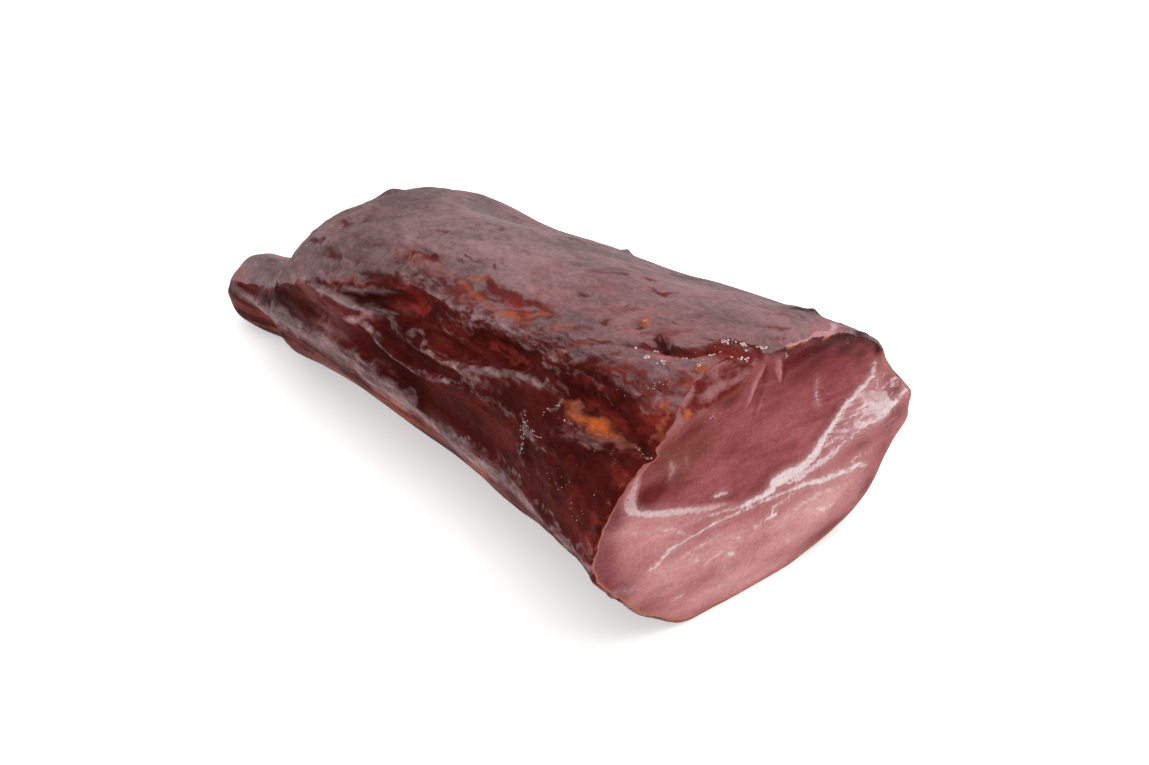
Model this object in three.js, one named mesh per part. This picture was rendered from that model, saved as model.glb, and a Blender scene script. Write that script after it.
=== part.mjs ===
import * as THREE from 'three';

// Half of a boneless smoked pork neck, in millimetres. The near end is cut straight across and faces +X,
// the far end is blunt and carries a short tail, -Y is the dark left side, and it rests on Z = 0.
// Places on the skin are given by x and by the angle round the length: 0 at +Y, 90 at the top, 180 at -Y.

const CUT_X = 100;          // plane of the cut
const EDGE_ROUND = 2.4;     // rounding between the skin and the cut
const AROUND = 84;          // points in a ring
const CLOSEST_AT = 140;     // angle where the points of a ring are closest together
const CROWDING = 0.34;      // share by which they are closer there, and wider apart opposite
const RING_GAP = 5.2;       // distance between rings along the skin
const CUT_RINGS = 9;        // rings across the cut
const FINEST_FOLD = 3.6;    // folds narrower than this are widened and made shallower
const FLAP_SLOPE = 8;       // width over which the edge of a flap rises

// Rings from the tip of the tail to the cut. Each has its run along the skin, its x, the y and z of its
// middle, and how far it reaches from that middle to the left (-Y), to the right (+Y), up and down.
const RINGS = [
  { run: 0, x: -151, y: -20, z: 13, left: 0, right: 0, up: 0, down: 0 },
  { run: 5, x: -149, y: -20, z: 13, left: 6, right: 6, up: 6, down: 7 },
  { run: 14, x: -144, y: -19, z: 14, left: 10.5, right: 11, up: 11, down: 12 },
  { run: 28, x: -132, y: -18, z: 15, left: 12.5, right: 16, up: 14, down: 16 },
  { run: 44, x: -116, y: -15, z: 17, left: 14, right: 22, up: 16, down: 17.5 },
  { run: 58, x: -103, y: -10, z: 21, left: 24, right: 31, up: 26.5, down: 22.5 },
  { run: 74, x: -95, y: -2, z: 29, left: 37.5, right: 38, up: 30, down: 30.5 },
  { run: 92, x: -80, y: 4, z: 34, left: 45, right: 43, up: 33, down: 35.5 },
  { run: 120, x: -48, y: 4, z: 36, left: 46, right: 44, up: 38.5, down: 37.5 },
  { run: 168, x: 0, y: 4, z: 37, left: 47.5, right: 47, up: 42, down: 38.5 },
  { run: 218, x: 50, y: 4, z: 38, left: 53.5, right: 53, up: 43.5, down: 39.5 },
  { run: 268, x: 100, y: 4, z: 40, left: 68, right: 68.5, up: 44, down: 42 },
];

// Broad swellings and hollows of the skin: place, height, half length and half width in degrees.
const SWELLINGS = [
  { name: 'notch at the right of the cut', x: 104, angle: 16, height: -7.5, length: 30, width: 12 },
  { name: 'hollow below the right corner', x: 104, angle: 344, height: -3.8, length: 30, width: 10 },
  { name: 'worn upper left edge of the cut', x: 104, angle: 150, height: -4.5, length: 24, width: 26 },
  { name: 'worn upper right edge of the cut', x: 104, angle: 42, height: -3, length: 26, width: 15 },
  { name: 'thin left corner of the cut', x: 98, angle: 202, height: -5.5, length: 30, width: 18 },
  { name: 'full lower left of the cut', x: 104, angle: 232, height: 2.2, length: 40, width: 11 },
  { name: 'flat right shoulder', x: 0, angle: 62, height: -3.5, length: 55, width: 24 },
  { name: 'hollow behind the far crown', x: -36, angle: 62, height: -4.2, length: 18, width: 24 },
  { name: 'lump at the near right', x: 66, angle: 66, height: 1.8, length: 7, width: 7 },
  { name: 'lump further back', x: -2, angle: 64, height: 1.6, length: 7, width: 8 },
  { name: 'lump by the ragged rim', x: 86, angle: 58, height: 2.4, length: 8, width: 9 },
];

// Folds in the skin, each a path of [x, angle, half width, height]; below zero it is a groove.
const FOLDS = [
  { name: 'long dark wedge', path: [[-58, 159.5, 1, -0.5], [-46, 157, 2.5, -3], [-33, 152.5, 4, -4.5],
    [-21, 148.5, 6.5, -5], [-14, 147, 6, -2]] },
  { name: 'dark pocket', path: [[-9, 155, 3, -2], [5, 154.5, 4, -3.5], [15, 153, 2.5, -3],
    [26, 151, 1.2, -1]] },
  { name: 'glowing pocket', path: [[12, 145.5, 3.5, -2.5], [25, 144, 4, -4], [36, 144.5, 3, -3],
    [43, 144.5, 1.2, -1]] },
  { name: 'fold of orange fat', path: [[60, 145, 2.5, -2], [70, 144.5, 5, -4], [82, 147.5, 4.5, -4],
    [92, 149.5, 2.5, -3], [102, 151, 1.5, -2.5]] },
  { name: 'lens below the cord', path: [[-30, 164, 1.5, -1], [-15, 165.5, 3, -2.5], [0, 164.5, 3, -2.5],
    [13, 161.5, 1.5, -1]] },
  { name: 'dark side hollow', path: [[-88, 168, 3, -1], [-60, 171.5, 4, -2], [-40, 172.5, 4.5, -2.5],
    [-20, 174.5, 3.5, -2.5], [0, 175.5, 5, -2.5], [25, 174, 6, -2], [48, 171, 5, -0.8]] },
  { name: 'crevice below the top sheet', path: [[66, 119, 1, -0.8], [76, 115, 2.2, -3], [84, 109, 3.5, -4],
    [90, 103.5, 4.5, -4], [97, 98, 4.5, -2.6], [104, 92, 4.5, -1]] },
  { name: 'pit near the far end', path: [[-76, 146, 3.5, -2], [-67, 146, 3, -1.6]] },
  { name: 'bean in the side', path: [[-47, 146, 2, -1.4], [-37, 142.5, 2, -1.6]] },
  { name: 'red band on the shoulder', path: [[-17, 132, 2.5, -1.2], [-6, 134, 3, -1], [8, 126, 4, -1.4],
    [25, 125, 3.5, -1.2]] },
  { name: 'pale cord', path: [[-76, 162.5, 2.4, 1], [-60, 161, 2.4, 1.4], [-42, 160, 2.4, 1.6],
    [-28, 158, 2.4, 1.6], [-8, 159.5, 2.2, 1.4], [6, 160, 2, 1.4], [20, 156, 2, 1.2], [38, 150, 2, 1]] },
  { name: 'lower cord', path: [[-50, 168.5, 2, 1], [-38, 165, 2.2, 1.4], [-25, 169.5, 2, 1.4],
    [-10, 170, 2, 1.4], [8, 166, 2, 1.2], [30, 162, 2, 1]] },
];

// Flaps of the skin, each a path of [x, angle, height]. The side at the left of the path, seen from outside
// and walking along it, stands up by the height and falls off over the reach.
const FLAPS = [
  { name: 'edge of the top sheet', reach: 16, path: [[66, 115, 0], [76, 112, 1.5], [82, 106, 2],
    [92, 96, 2], [102, 88, 1.2]] },
  { name: 'upper lip of the wedge', reach: 9, path: [[-60, 157, 0], [-48, 154, 1], [-36, 148, 1.4],
    [-24, 141, 1.4], [-10, 139.5, 0]] },
  { name: 'upper lip of the glowing pocket', reach: 9, path: [[8, 143, 0], [18, 139.5, 1.4],
    [32, 139.5, 1.4], [46, 145, 0]] },
  { name: 'far lower strip', reach: 12, path: [[-2, 189, 0], [-4, 183.5, 1.6], [-12, 179.5, 2],
    [-28, 178, 2], [-42, 176, 2], [-56, 177.5, 1.8], [-72, 182.5, 1.6], [-86, 183, 0]] },
  { name: 'near lower strip', reach: 12, path: [[102, 179, 1.4], [75, 180, 1.6], [50, 179.5, 1.6],
    [30, 181, 1.8], [14, 185, 1.6], [-2, 188, 0]] },
];

// Relief of the cut: place on it, height along +X, half width and half height.
const CUT_RELIEF = [
  { name: 'lower muscle swells', y: 2, z: 20, out: 5, width: 52, height: 17 },
  { name: 'upper muscle sinks', y: -8, z: 58, out: -4.5, width: 36, height: 15 },
  { name: 'dark corner sinks more', y: 30, z: 68, out: -4.5, width: 17, height: 10 },
  { name: 'marbled corner swells', y: 55, z: 42, out: 2, width: 12, height: 8 },
  { name: 'groove between the pale ridges', y: 3, z: 71, out: -2, width: 4, height: 8 },
];

const degrees = (value) => value * Math.PI / 180;
const turn = (a, b) => ((a - b + 540) % 360) - 180;
const clamp = (value, low, high) => Math.min(Math.max(value, low), high);
const bell = (value) => Math.exp(-value * value);
const smooth = (value) => {
  const share = clamp(value, 0, 1);
  return share * share * (3 - 2 * share);
};

// One measure of the ring at a run along the skin, led smoothly through the listed rings.
function measure(run, key) {
  let k = RINGS.findIndex((ring) => ring.run > run) - 1;
  if (k < 0) k = RINGS.length - 2;
  const a = RINGS[k];
  const b = RINGS[k + 1];
  const before = RINGS[Math.max(k - 1, 0)];
  const after = RINGS[Math.min(k + 2, RINGS.length - 1)];
  const gap = b.run - a.run;
  const f = (run - a.run) / gap;
  const slopeA = (b[key] - before[key]) / (b.run - before.run) * gap;
  const slopeB = (after[key] - a[key]) / (after.run - a.run) * gap;
  return (2 * f ** 3 - 3 * f ** 2 + 1) * a[key] + (f ** 3 - 2 * f ** 2 + f) * slopeA
    + (3 * f ** 2 - 2 * f ** 3) * b[key] + (f ** 3 - f ** 2) * slopeB;
}

// Nearest place of a path: its distance, the share of the two ends' values there, and the side.
function nearest(x, angle, path) {
  let best = { distance: Infinity };
  for (let i = 0; i + 1 < path.length; i += 1) {
    const from = path[i];
    const to = path[i + 1];
    const ex = to[0] - from[0];
    const ea = to[1] - from[1];
    const px = x - from[0];
    const pa = turn(angle, from[1]);
    const share = clamp((px * ex + pa * ea) / (ex * ex + ea * ea), 0, 1);
    const distance = Math.hypot(px - share * ex, pa - share * ea);
    if (distance < best.distance) {
      const side = Math.sign(ea * px - ex * pa);
      best = { distance, side, value: from.map((v, j) => v + share * (to[j] - v)) };
    }
  }
  return best;
}

// Height of the skin over the plain ring at x and an angle.
function relief(x, angle) {
  let height = 0;
  for (const s of SWELLINGS) {
    height += s.height * bell((x - s.x) / s.length) * bell(turn(angle, s.angle) / s.width);
  }
  for (const fold of FOLDS) {
    const { distance, value } = nearest(x, angle, fold.path);
    const width = Math.max(value[2], FINEST_FOLD);
    height += value[3] * value[2] / width * bell((distance / width) ** (value[3] < 0 ? 2 : 1));
  }
  for (const flap of FLAPS) {
    const { distance, side, value } = nearest(x, angle, flap.path);
    const inside = Math.max(side * distance, 0);
    height += value[2] * smooth(0.5 + side * distance / FLAP_SLOPE) * bell(inside / flap.reach);
  }
  // low waves of the whole skin
  height += 0.35 * Math.sin(x / 9.5 + 2.1 * Math.sin(degrees(3 * angle)));
  height += 0.35 * Math.sin(degrees(7 * angle) + x / 17);
  return height;
}

// Point of the skin at a run and an angle. Below the table it is cut flat.
function skinPoint(run, angle) {
  const end = RINGS[RINGS.length - 1].run;
  const x = Math.min(measure(run, 'x'), CUT_X);
  const cos = Math.cos(degrees(angle));
  const sin = Math.sin(degrees(angle));
  const across = measure(run, cos > 0 ? 'right' : 'left');
  const height = measure(run, sin > 0 ? 'up' : 'down');
  const fade = clamp(run / 40, 0, 1);
  const past = clamp(EDGE_ROUND - (end - run), 0, EDGE_ROUND);
  const rounding = EDGE_ROUND - Math.sqrt(EDGE_ROUND ** 2 - past ** 2);
  const plain = run > 0 ? across * height / Math.hypot(height * cos, across * sin) : 0;
  const radius = plain + (relief(x, angle) - rounding) * fade;
  const y = measure(run, 'y') + radius * cos;
  const z = measure(run, 'z') + radius * sin;
  return [x, y, Math.max(z, 0)];
}

// Point of the cut: a share of the way from its middle to the rim, at an angle.
function cutPoint(share, angle) {
  const end = RINGS[RINGS.length - 1];
  const [, rimY, rimZ] = skinPoint(end.run, angle);
  const y = end.y + share * (rimY - end.y);
  const z = end.z + share * (rimZ - end.z);
  let out = 0;
  for (const r of CUT_RELIEF) {
    out += r.out * bell((y - r.y) / r.width) * bell((z - r.z) / r.height);
  }
  return [CUT_X + out * smooth((1 - share) * 4), y, z];
}

// Runs of the rings: evenly along the skin, closer at the rounded edge of the cut.
function ringRuns() {
  const end = RINGS[RINGS.length - 1].run;
  const runs = [2, 5, 9];
  const count = Math.round((end - 3 - 14) / RING_GAP);
  for (let i = 0; i <= count; i += 1) {
    runs.push(14 + (end - 3 - 14) * i / count);
  }
  runs.push(end - 1.2, end);
  return runs;
}

// Angle of a point of a ring, closer together on the folded side.
function ringAngle(i) {
  const even = 360 * i / AROUND;
  return even - CROWDING * Math.sin(degrees(even - CLOSEST_AT)) * 180 / Math.PI;
}

// Two triangles for the quad of four corners in turn, cut along its shorter diagonal.
function quad(points, a, b, c, d) {
  const gap = (i, j) => Math.hypot(...points[i].map((value, axis) => value - points[j][axis]));
  return gap(a, c) <= gap(b, d) ? [[a, b, c], [a, c, d]] : [[a, b, d], [b, c, d]];
}

// The closed skin: a tip, rings along the meat, rings across the cut, and the middle of the cut.
function meatGeometry() {
  const points = [skinPoint(0, 0)];
  const rings = [];
  const addRing = (pointAt) => {
    const first = points.length;
    for (let i = 0; i < AROUND; i += 1) {
      points.push(pointAt(ringAngle(i)));
    }
    rings.push(first);
  };
  for (const run of ringRuns()) {
    addRing((angle) => skinPoint(run, angle));
  }
  for (let k = CUT_RINGS - 1; k > 0; k -= 1) {
    addRing((angle) => cutPoint(k / CUT_RINGS, angle));
  }
  points.push(cutPoint(0, 0));
  const last = points.length - 1;
  const faces = [];
  for (let i = 0; i < AROUND; i += 1) {
    const next = (i + 1) % AROUND;
    faces.push([0, rings[0] + next, rings[0] + i]);
    for (let k = 0; k + 1 < rings.length; k += 1) {
      faces.push(...quad(points, rings[k] + i, rings[k] + next, rings[k + 1] + next, rings[k + 1] + i));
    }
    faces.push([last, rings[rings.length - 1] + i, rings[rings.length - 1] + next]);
  }
  const geometry = new THREE.BufferGeometry();
  geometry.setAttribute('position', new THREE.Float32BufferAttribute(points.flat(), 3));
  geometry.setIndex(faces.flat());
  // the middle of the footprint goes to the origin
  geometry.computeBoundingBox();
  const { min, max } = geometry.boundingBox;
  geometry.translate(-(min.x + max.x) / 2, -(min.y + max.y) / 2, -min.z);
  geometry.computeVertexNormals();
  return geometry;
}

const crust = new THREE.MeshStandardMaterial({ name: 'smoked_crust', color: 0x6b3634, roughness: 0.45 });
const meat = new THREE.Mesh(meatGeometry(), crust);
meat.name = 'smoked_pork_neck';

const part = new THREE.Group();
part.name = 'smoked_pork_neck_half';
part.add(meat);

export default part;
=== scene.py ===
"""Half of a boneless smoked pork neck: its folded smoked skin, the straight cut, beads of fat, and a stage.

Places on the skin are given by x, in millimetres along the length, and by the angle round it, in degrees:
0 at +Y, 90 at the top, 180 at -Y. Places on the cut are given by y and z in millimetres."""

import math

import bpy
import numpy as np
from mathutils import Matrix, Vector


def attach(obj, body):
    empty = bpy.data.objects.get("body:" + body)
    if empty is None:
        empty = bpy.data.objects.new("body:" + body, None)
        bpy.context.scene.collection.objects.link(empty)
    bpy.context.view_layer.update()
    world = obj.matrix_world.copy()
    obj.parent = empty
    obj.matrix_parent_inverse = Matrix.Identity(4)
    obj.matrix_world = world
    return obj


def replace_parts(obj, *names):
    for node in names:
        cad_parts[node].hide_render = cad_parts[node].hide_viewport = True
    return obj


bl_info = {
    "name": "Smoked pork neck",
    "version": (1, 0, 0),
    "blender": (4, 5, 0),
    "location": "3D View > Sidebar > Pork neck",
    "description": "Builds half of a smoked pork neck round its frame, and a plain stage for it",
    "category": "Add Mesh",
}

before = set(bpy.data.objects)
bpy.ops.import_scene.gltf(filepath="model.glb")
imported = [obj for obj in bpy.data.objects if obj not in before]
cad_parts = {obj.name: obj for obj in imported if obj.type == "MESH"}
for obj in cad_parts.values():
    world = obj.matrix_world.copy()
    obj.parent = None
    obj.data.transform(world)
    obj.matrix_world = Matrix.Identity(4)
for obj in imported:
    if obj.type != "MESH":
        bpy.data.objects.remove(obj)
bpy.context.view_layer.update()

NODE = "smoked_pork_neck"
MM = 0.001

# Places and sizes below are in millimetres, before the middle of the footprint is moved to 0.
FOOTPRINT_MIDDLE = (-23.034, 3.870, 0)
AIM = (0, 17.5, 21)                    # what the camera looks at
SENSOR = 36                            # width of the camera's sensor
FLOOR_Z = -0.0002                      # in metres, just below the meat
LAMPS = {"key": (0.9, (0.75, 0.35, 0.95)), "above": (2.2, (0.05, 0.12, 1.35))}    # side and place in metres
EDGE_ROUND = 1.3                       # rounding between the skin and the cut
EDGE_STEPS = np.array([0.8, 0.6, 0.4, 0.22, 0.09, 0])    # where its rings lie, as shares of the rounding
TIP_RUNS = [1.5, 4, 6.5]               # runs of the rings at the tip of the tail
EVEN_FROM = 9                          # run from which the rings are evenly spaced
CLOSEST_AT = 140.0                     # angle where the points of a ring are closest together
CROWDING = 0.34                        # share by which they are closer there, and wider apart opposite

# Rings from the tip of the tail to the cut: run along the skin, x, the y and z of the middle, and the
# reach from it to the left (-Y), to the right (+Y), up and down.
RINGS = np.array([
    (0, -151, -20, 13, 0, 0, 0, 0),
    (5, -149, -20, 13, 6, 6, 6, 7),
    (14, -144, -19, 14, 10.5, 11, 11, 12),
    (28, -132, -18, 15, 12.5, 16, 14, 16),
    (44, -116, -15, 17, 14, 22, 16, 17.5),
    (58, -103, -10, 21, 24, 31, 26.5, 22.5),
    (74, -95, -2, 29, 37.5, 38, 30, 30.5),
    (92, -80, 4, 34, 45, 43, 33, 35.5),
    (120, -48, 4, 36, 46, 44, 38.5, 37.5),
    (168, 0, 4, 37, 47.5, 47, 42, 38.5),
    (218, 50, 4, 38, 53.5, 53, 43.5, 39.5),
    (268, 100, 4, 40, 68, 68.5, 44, 42),
], float)
RUN_END, CUT_X = RINGS[-1, :2]         # run and x of the plane of the cut

# Broad swellings and hollows of the skin: x, angle, height, half length, half width in degrees.
SWELLINGS = [
    (104, 16, -7.5, 30, 12),      # notch at the right of the cut
    (104, 344, -3.8, 30, 10),     # hollow below the right corner
    (104, 150, -4.5, 24, 26),     # worn upper left edge of the cut
    (104, 42, -3, 26, 15),        # worn upper right edge of the cut
    (98, 202, -5.5, 30, 18),      # thin left corner of the cut
    (104, 232, 2.2, 40, 11),      # full lower left of the cut
    (0, 62, -3.5, 55, 24),        # flat right shoulder
    (-36, 62, -4.2, 18, 24),      # hollow behind the far crown
    (66, 66, 1.8, 7, 7),          # lump at the near right
    (-2, 64, 1.6, 7, 8),          # lump further back
    (86, 58, 2.4, 8, 9),          # lump by the ragged rim
    (95, 47, 2.2, 8, 9),          # lump at the upper right corner
    (103, 200, 2.6, 8, 17),       # lip at the lower left of the cut
    (88, 206, -1, 14, 20),        # thin skin behind that lip
    (104, 178, 1.2, 10, 12),      # left edge of the cut
    (101, 1.5, 1.6, 7, 2.5),      # knobs of the right corner of the cut
    (101, 353.5, 1.8, 7, 3),
    (103, 90, -2.6, 8, 9),        # low edge of the cut under the crevice
    (104, 76, -2.2, 7, 9),        # low edge of the cut beside it
    (104, 209, 1.8, 14, 8),       # full lower left corner of the cut
    (-86, 84, 1.8, 4, 4),         # knob on the far crown
    (-72, 72, 1.3, 11, 12),       # far crown
    (-93, 98, -1.2, 8, 9),        # slope of the far crown to the tail
    (-45, 52, -1, 10, 10),        # hollow behind the far crown
    (8, 47, 1.4, 2, 2),           # crumb on the far edge
    (-112, 152, 6, 12, 26),       # web between the tail and the side
    (-149, 184, 2.4, 4, 14),      # point of the tail
    (-147, 126, -2.4, 6, 26),     # flat face of the tail's end
    (-144, 97, 1.8, 5, 12),       # upper corner of that face
    (-142, 218, 2.4, 6, 22),      # lower corner of the tail
    (-136, 84, 1.6, 5, 20),       # knuckle on the tail
    (-130, 148, -1.8, 6, 26),     # hollow along the tail
]

# Folds in the skin: paths of (x, angle, half width, height). Below zero it is a groove.
FOLDS = {
    "long dark wedge": [(-58, 159.5, 1, -0.5), (-46, 157, 2.5, -3), (-33, 152.5, 4, -4.5),
                        (-21, 148.5, 6.5, -5), (-14, 147, 6, -2)],
    "dark pocket": [(-9, 155, 3, -2), (5, 154.5, 4, -3.5), (15, 153, 2.5, -3), (26, 151, 1.2, -1)],
    "glowing pocket": [(12, 145.5, 3.5, -2.5), (25, 144, 4, -4), (36, 144.5, 3, -3), (43, 144.5, 1.2, -1)],
    "fold of orange fat": [(60, 145, 2.5, -2), (70, 144.5, 5, -4), (82, 147.5, 4.5, -4),
                           (92, 149.5, 2.5, -3), (102, 151, 1.5, -2.5)],
    "lens below the cord": [(-30, 164, 1.5, -1), (-15, 165.5, 3, -2.5), (0, 164.5, 3, -2.5),
                            (13, 161.5, 1.5, -1)],
    "dark side hollow": [(-88, 168, 3, -1), (-60, 171.5, 4, -2), (-40, 172.5, 4.5, -2.5),
                         (-20, 174.5, 3.5, -2.5), (0, 175.5, 5, -2.5), (25, 174, 6, -2), (48, 171, 5, -0.8)],
    "crevice below the top sheet": [(62, 121.6, 0.8, -0.6), (70, 118.8, 1.2, -1.2), (76, 116.4, 1.5, -1.5),
                                    (79.5, 116.4, 1.4, -1.3), (86.5, 113, 1.9, -2.1),
                                    (93.3, 107.6, 2.2, -2.3), (99, 101.8, 2.2, -2), (104, 96.6, 1.8, -1)],
    "corner of the crevice": [(71.5, 112.6, 1, -0.7), (75, 113, 1.7, -1.9), (77.6, 115.2, 1.4, -1.4)],
    "pit near the far end": [(-76, 146, 3.5, -2), (-67, 146, 3, -1.6)],
    "bean in the side": [(-47, 146, 2, -1.4), (-37, 142.5, 2, -1.6)],
    "red band on the shoulder": [(-17, 132, 2.5, -1.2), (-6, 134, 3, -1), (8, 126, 4, -1.4),
                                 (25, 125, 3.5, -1.2)],
}

# Flaps of the skin: reach, then a path of (x, angle, height). The side at the left of the path, seen from
# outside and walking along it, stands up by the height and falls off over the reach.
FLAPS = {
    "edge of the top sheet": (16, [(64, 118.4, 0), (69, 113.6, 0.7), (74, 111.2, 1), (80, 114.6, 0.6),
                                   (85.4, 111, 1), (93.4, 103.6, 1.2), (99, 98.2, 1.1), (103.4, 94, 0.9)]),
    "upper lip of the wedge": (9, [(-60, 157, 0), (-48, 154, 1), (-36, 148, 1.4), (-24, 141, 1.4),
                                   (-10, 139.5, 0)]),
    "upper lip of the glowing pocket": (9, [(8, 143, 0), (18, 139.5, 1.4), (32, 139.5, 1.4), (46, 145, 0)]),
    "far lower strip": (12, [(-2, 189, 0), (-4, 183.5, 1.6), (-12, 179.5, 2), (-28, 178, 2), (-42, 176, 2),
                             (-56, 177.5, 1.8), (-72, 182.5, 1.6), (-86, 183, 0)]),
    "near lower strip": (12, [(102, 179, 1.4), (75, 180, 1.6), (50, 179.5, 1.6), (30, 181, 1.8),
                              (14, 185, 1.6), (-2, 188, 0)]),
}

# Pale cords and wrinkles that stand up from the skin: paths of (x, angle, half width, height).
CORDS = [
    [(-84, 163, 1.6, 0.4), (-70, 162, 1.7, 1.2), (-60, 161, 1.7, 1.5), (-50, 161, 1.6, 1.5),
     (-42, 159.5, 1.5, 1.5), (-37, 157, 1.4, 1.4), (-28, 156.5, 1.4, 1.4), (-24, 157.5, 1.3, 1.3),
     (-17, 158.5, 1.2, 0.9), (-14.5, 156, 1.1, 0.8), (-12, 154.5, 1, 0.8), (-9.5, 157, 1, 0.8),
     (-5, 159.5, 1.1, 1.3), (6, 160, 1.2, 1.3), (15, 157, 1.4, 1.3), (20, 155, 1.5, 1.3),
     (30, 151.5, 1.5, 1.3), (38, 149.5, 1.4, 1.1), (48, 148.3, 1.2, 0.8), (58, 147, 1, 0.2)],
    [(-52, 169.5, 1.4, 0.5), (-46, 166.5, 1.6, 1.5), (-41, 163, 1.5, 1.4), (-38, 160, 1.3, 0.8)],
    [(-40, 165.5, 1.5, 0.8), (-35, 165, 1.6, 1.4), (-30, 168, 1.4, 1.4), (-24, 169.8, 1.3, 1.3),
     (-15, 170.5, 1.3, 1.3), (-8, 170.2, 1.2, 1.3), (-3, 168, 1.1, 1.2), (4, 166.5, 1, 1.1),
     (10, 165, 0.9, 0.8)],
    [(-13, 172.5, 1, 0.5), (-6, 170.5, 1.1, 1.1), (0, 169, 1.1, 1.1), (8, 166.5, 1, 1.1),
     (15, 164.5, 1.1, 1.1), (22, 163.3, 1.2, 1.1), (32, 162.5, 1.4, 1.1), (40, 161.5, 1.4, 1),
     (47, 161, 1, 0.4)],
    [(-58, 157.5, 1, 0.4), (-50, 154, 1.3, 1), (-42, 151.2, 1.3, 1), (-36, 148.2, 1.3, 1),
     (-32, 145.3, 1.2, 0.8), (-28, 142, 1, 0.3)],
    [(-12, 140.8, 0.9, 0.4), (-4, 143, 0.9, 0.8), (4, 144.3, 0.9, 0.8), (10, 145, 0.8, 0.3)],
    [(-12, 144.5, 0.9, 0.4), (-5, 146.5, 0.9, 0.8), (2, 149, 0.9, 0.9), (9, 149.3, 0.8, 0.3)],
    [(-9, 150.5, 0.9, 0.3), (0, 149.6, 0.9, 0.7), (9, 147, 0.8, 0.4)],
    [(61, 142.5, 0.8, 0.3), (68, 141.2, 0.9, 0.9), (78, 141.5, 0.9, 0.9), (85, 144.3, 0.8, 0.4)],
    [(60, 138.5, 0.8, 0.3), (66, 135.6, 0.9, 0.8), (74, 134.5, 0.9, 0.8), (84, 138, 0.8, 0.7),
     (92, 141, 0.8, 0.5)],
    [(62, 133.8, 0.8, 0.3), (72, 132, 0.9, 0.7), (82, 132.5, 0.9, 0.7), (91, 136, 0.8, 0.5)],
    [(68, 153.6, 0.8, 0.4), (76, 153, 0.9, 0.9), (84, 154.5, 0.8, 0.4)],
    [(60, 159.5, 0.8, 0.3), (70, 157.7, 0.8, 0.6), (80, 155.7, 0.8, 0.6), (92, 154.6, 0.8, 0.3)],
    [(56.5, 156, 0.8, 0.6), (58.5, 153, 0.9, 1), (61.5, 150, 0.8, 0.5)],
    [(45, 160, 0.9, 0.3), (48, 161.5, 1, 0.9), (52, 163.2, 1, 1.3), (58, 164, 0.9, 1.1),
     (70, 163.2, 0.7, 0.6), (82, 163, 0.6, 0.2)],
    [(46.5, 160, 0.9, 0.4), (49, 157.5, 1, 1.1), (51, 159.5, 0.9, 0.4)],
    [(50, 164.5, 0.8, 0.6), (53.5, 167.5, 0.9, 1.1), (52, 170.5, 0.9, 1), (55, 172.5, 0.8, 0.5)],
    [(45, 171.5, 0.8, 0.3), (50, 170.3, 0.9, 0.9), (56, 173.5, 0.8, 0.7), (60, 176, 0.8, 0.6)],
    [(12, 140.5, 0.9, 0.3), (20, 138.4, 1, 0.9), (30, 138.3, 1, 0.9), (38, 139.8, 0.9, 0.6)],
    [(42, 141, 0.8, 0.3), (50, 144, 0.9, 0.8), (60, 145.3, 0.8, 0.5)],
    [(44, 138.5, 0.8, 0.3), (52, 141.5, 0.9, 0.8), (60, 143, 0.8, 0.4)],
    [(40, 137, 0.9, 0.3), (48, 134.5, 1, 0.8), (58, 133, 1, 0.8), (66, 128.5, 1.1, 0.8), (76, 125, 1.1, 0.8),
     (90, 123.5, 1, 0.5)],
    [(-64, 176, 1.2, 0.3), (-58, 173, 1.3, 1), (-54, 170, 1.1, 0.5)],
    [(-138, 164, 5, 0.4), (-122, 169, 6, 1), (-110, 171, 6, 1.5), (-102, 174, 5, 1.7), (-94, 180, 4, 1.6),
     (-86, 185, 3, 1.2), (-76, 185.5, 2.2, 0.5)],
]

# Small pits and bumps of the skin: x, angle, half length, half width, height.
PITS = [
    (-34, 110.5, 2.8, 2.8, -0.45), (-53, 99, 3.4, 3, -0.3), (-25, 101, 3.4, 2.2, -0.25),
    (-2, 115, 4, 2.5, -0.35), (-12, 116.5, 5.8, 1.9, -0.4), (-16, 120.5, 3, 1.5, -0.7),
    (15, 87, 4.6, 2, -0.35), (21, 95.5, 4.6, 2, -0.3), (55, 88, 3.9, 2.8, -0.55), (42, 82, 4.6, 1.9, -0.35),
    (52, 116.6, 3.4, 1.2, -0.55), (49, 93, 1.6, 3.8, -0.25), (62.5, 110.6, 2.5, 1.2, -0.55),
    (63, 108.6, 1.7, 1.3, 1.2), (98.2, 118.4, 2.4, 1.3, -0.5), (98.4, 116.6, 1.8, 1.3, 1.1),
    (-57, 143, 3, 2.4, -1), (-70, 152, 4, 1.6, -0.8), (-82, 125, 3, 3, -0.8), (-86, 139, 3, 2, -0.9),
    (-44, 123, 7, 3, 0.7), (-27, 130, 4.5, 3.5, 0.9), (-36, 130, 1.6, 4.5, -0.9), (-29, 124.3, 7, 1.3, -1),
    (-80, 147, 2, 2.6, 0.9), (-60, 135, 6, 3, 0.6), (-47, 185.5, 3.5, 2, -0.8), (-42, 188.5, 3, 2, -0.8),
    (-16, 184, 4, 1.6, -0.7), (34, 183.5, 5, 1.3, -0.8), (44, 183, 5, 1.2, -0.7), (82, 182.3, 4.5, 1.1, -1),
    (73, 185, 4, 1.1, -0.7), (52, 76, 4.6, 3.1, -0.25), (30, 76, 5.8, 2.5, -0.25),
    (-5, 84, 5.8, 3.1, -0.25), (72, 92, 3.4, 2.2, -0.3), (66, 99, 3.7, 1.8, -0.3), (78, 84, 3, 2, -0.3),
    (90, 55, 2.2, 2, 1.3), (77, 122.5, 1.6, 1.2, 0.9), (82, 121.3, 1.2, 0.9, 0.7), (48, 108.3, 3, 2, -0.25),
]

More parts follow.
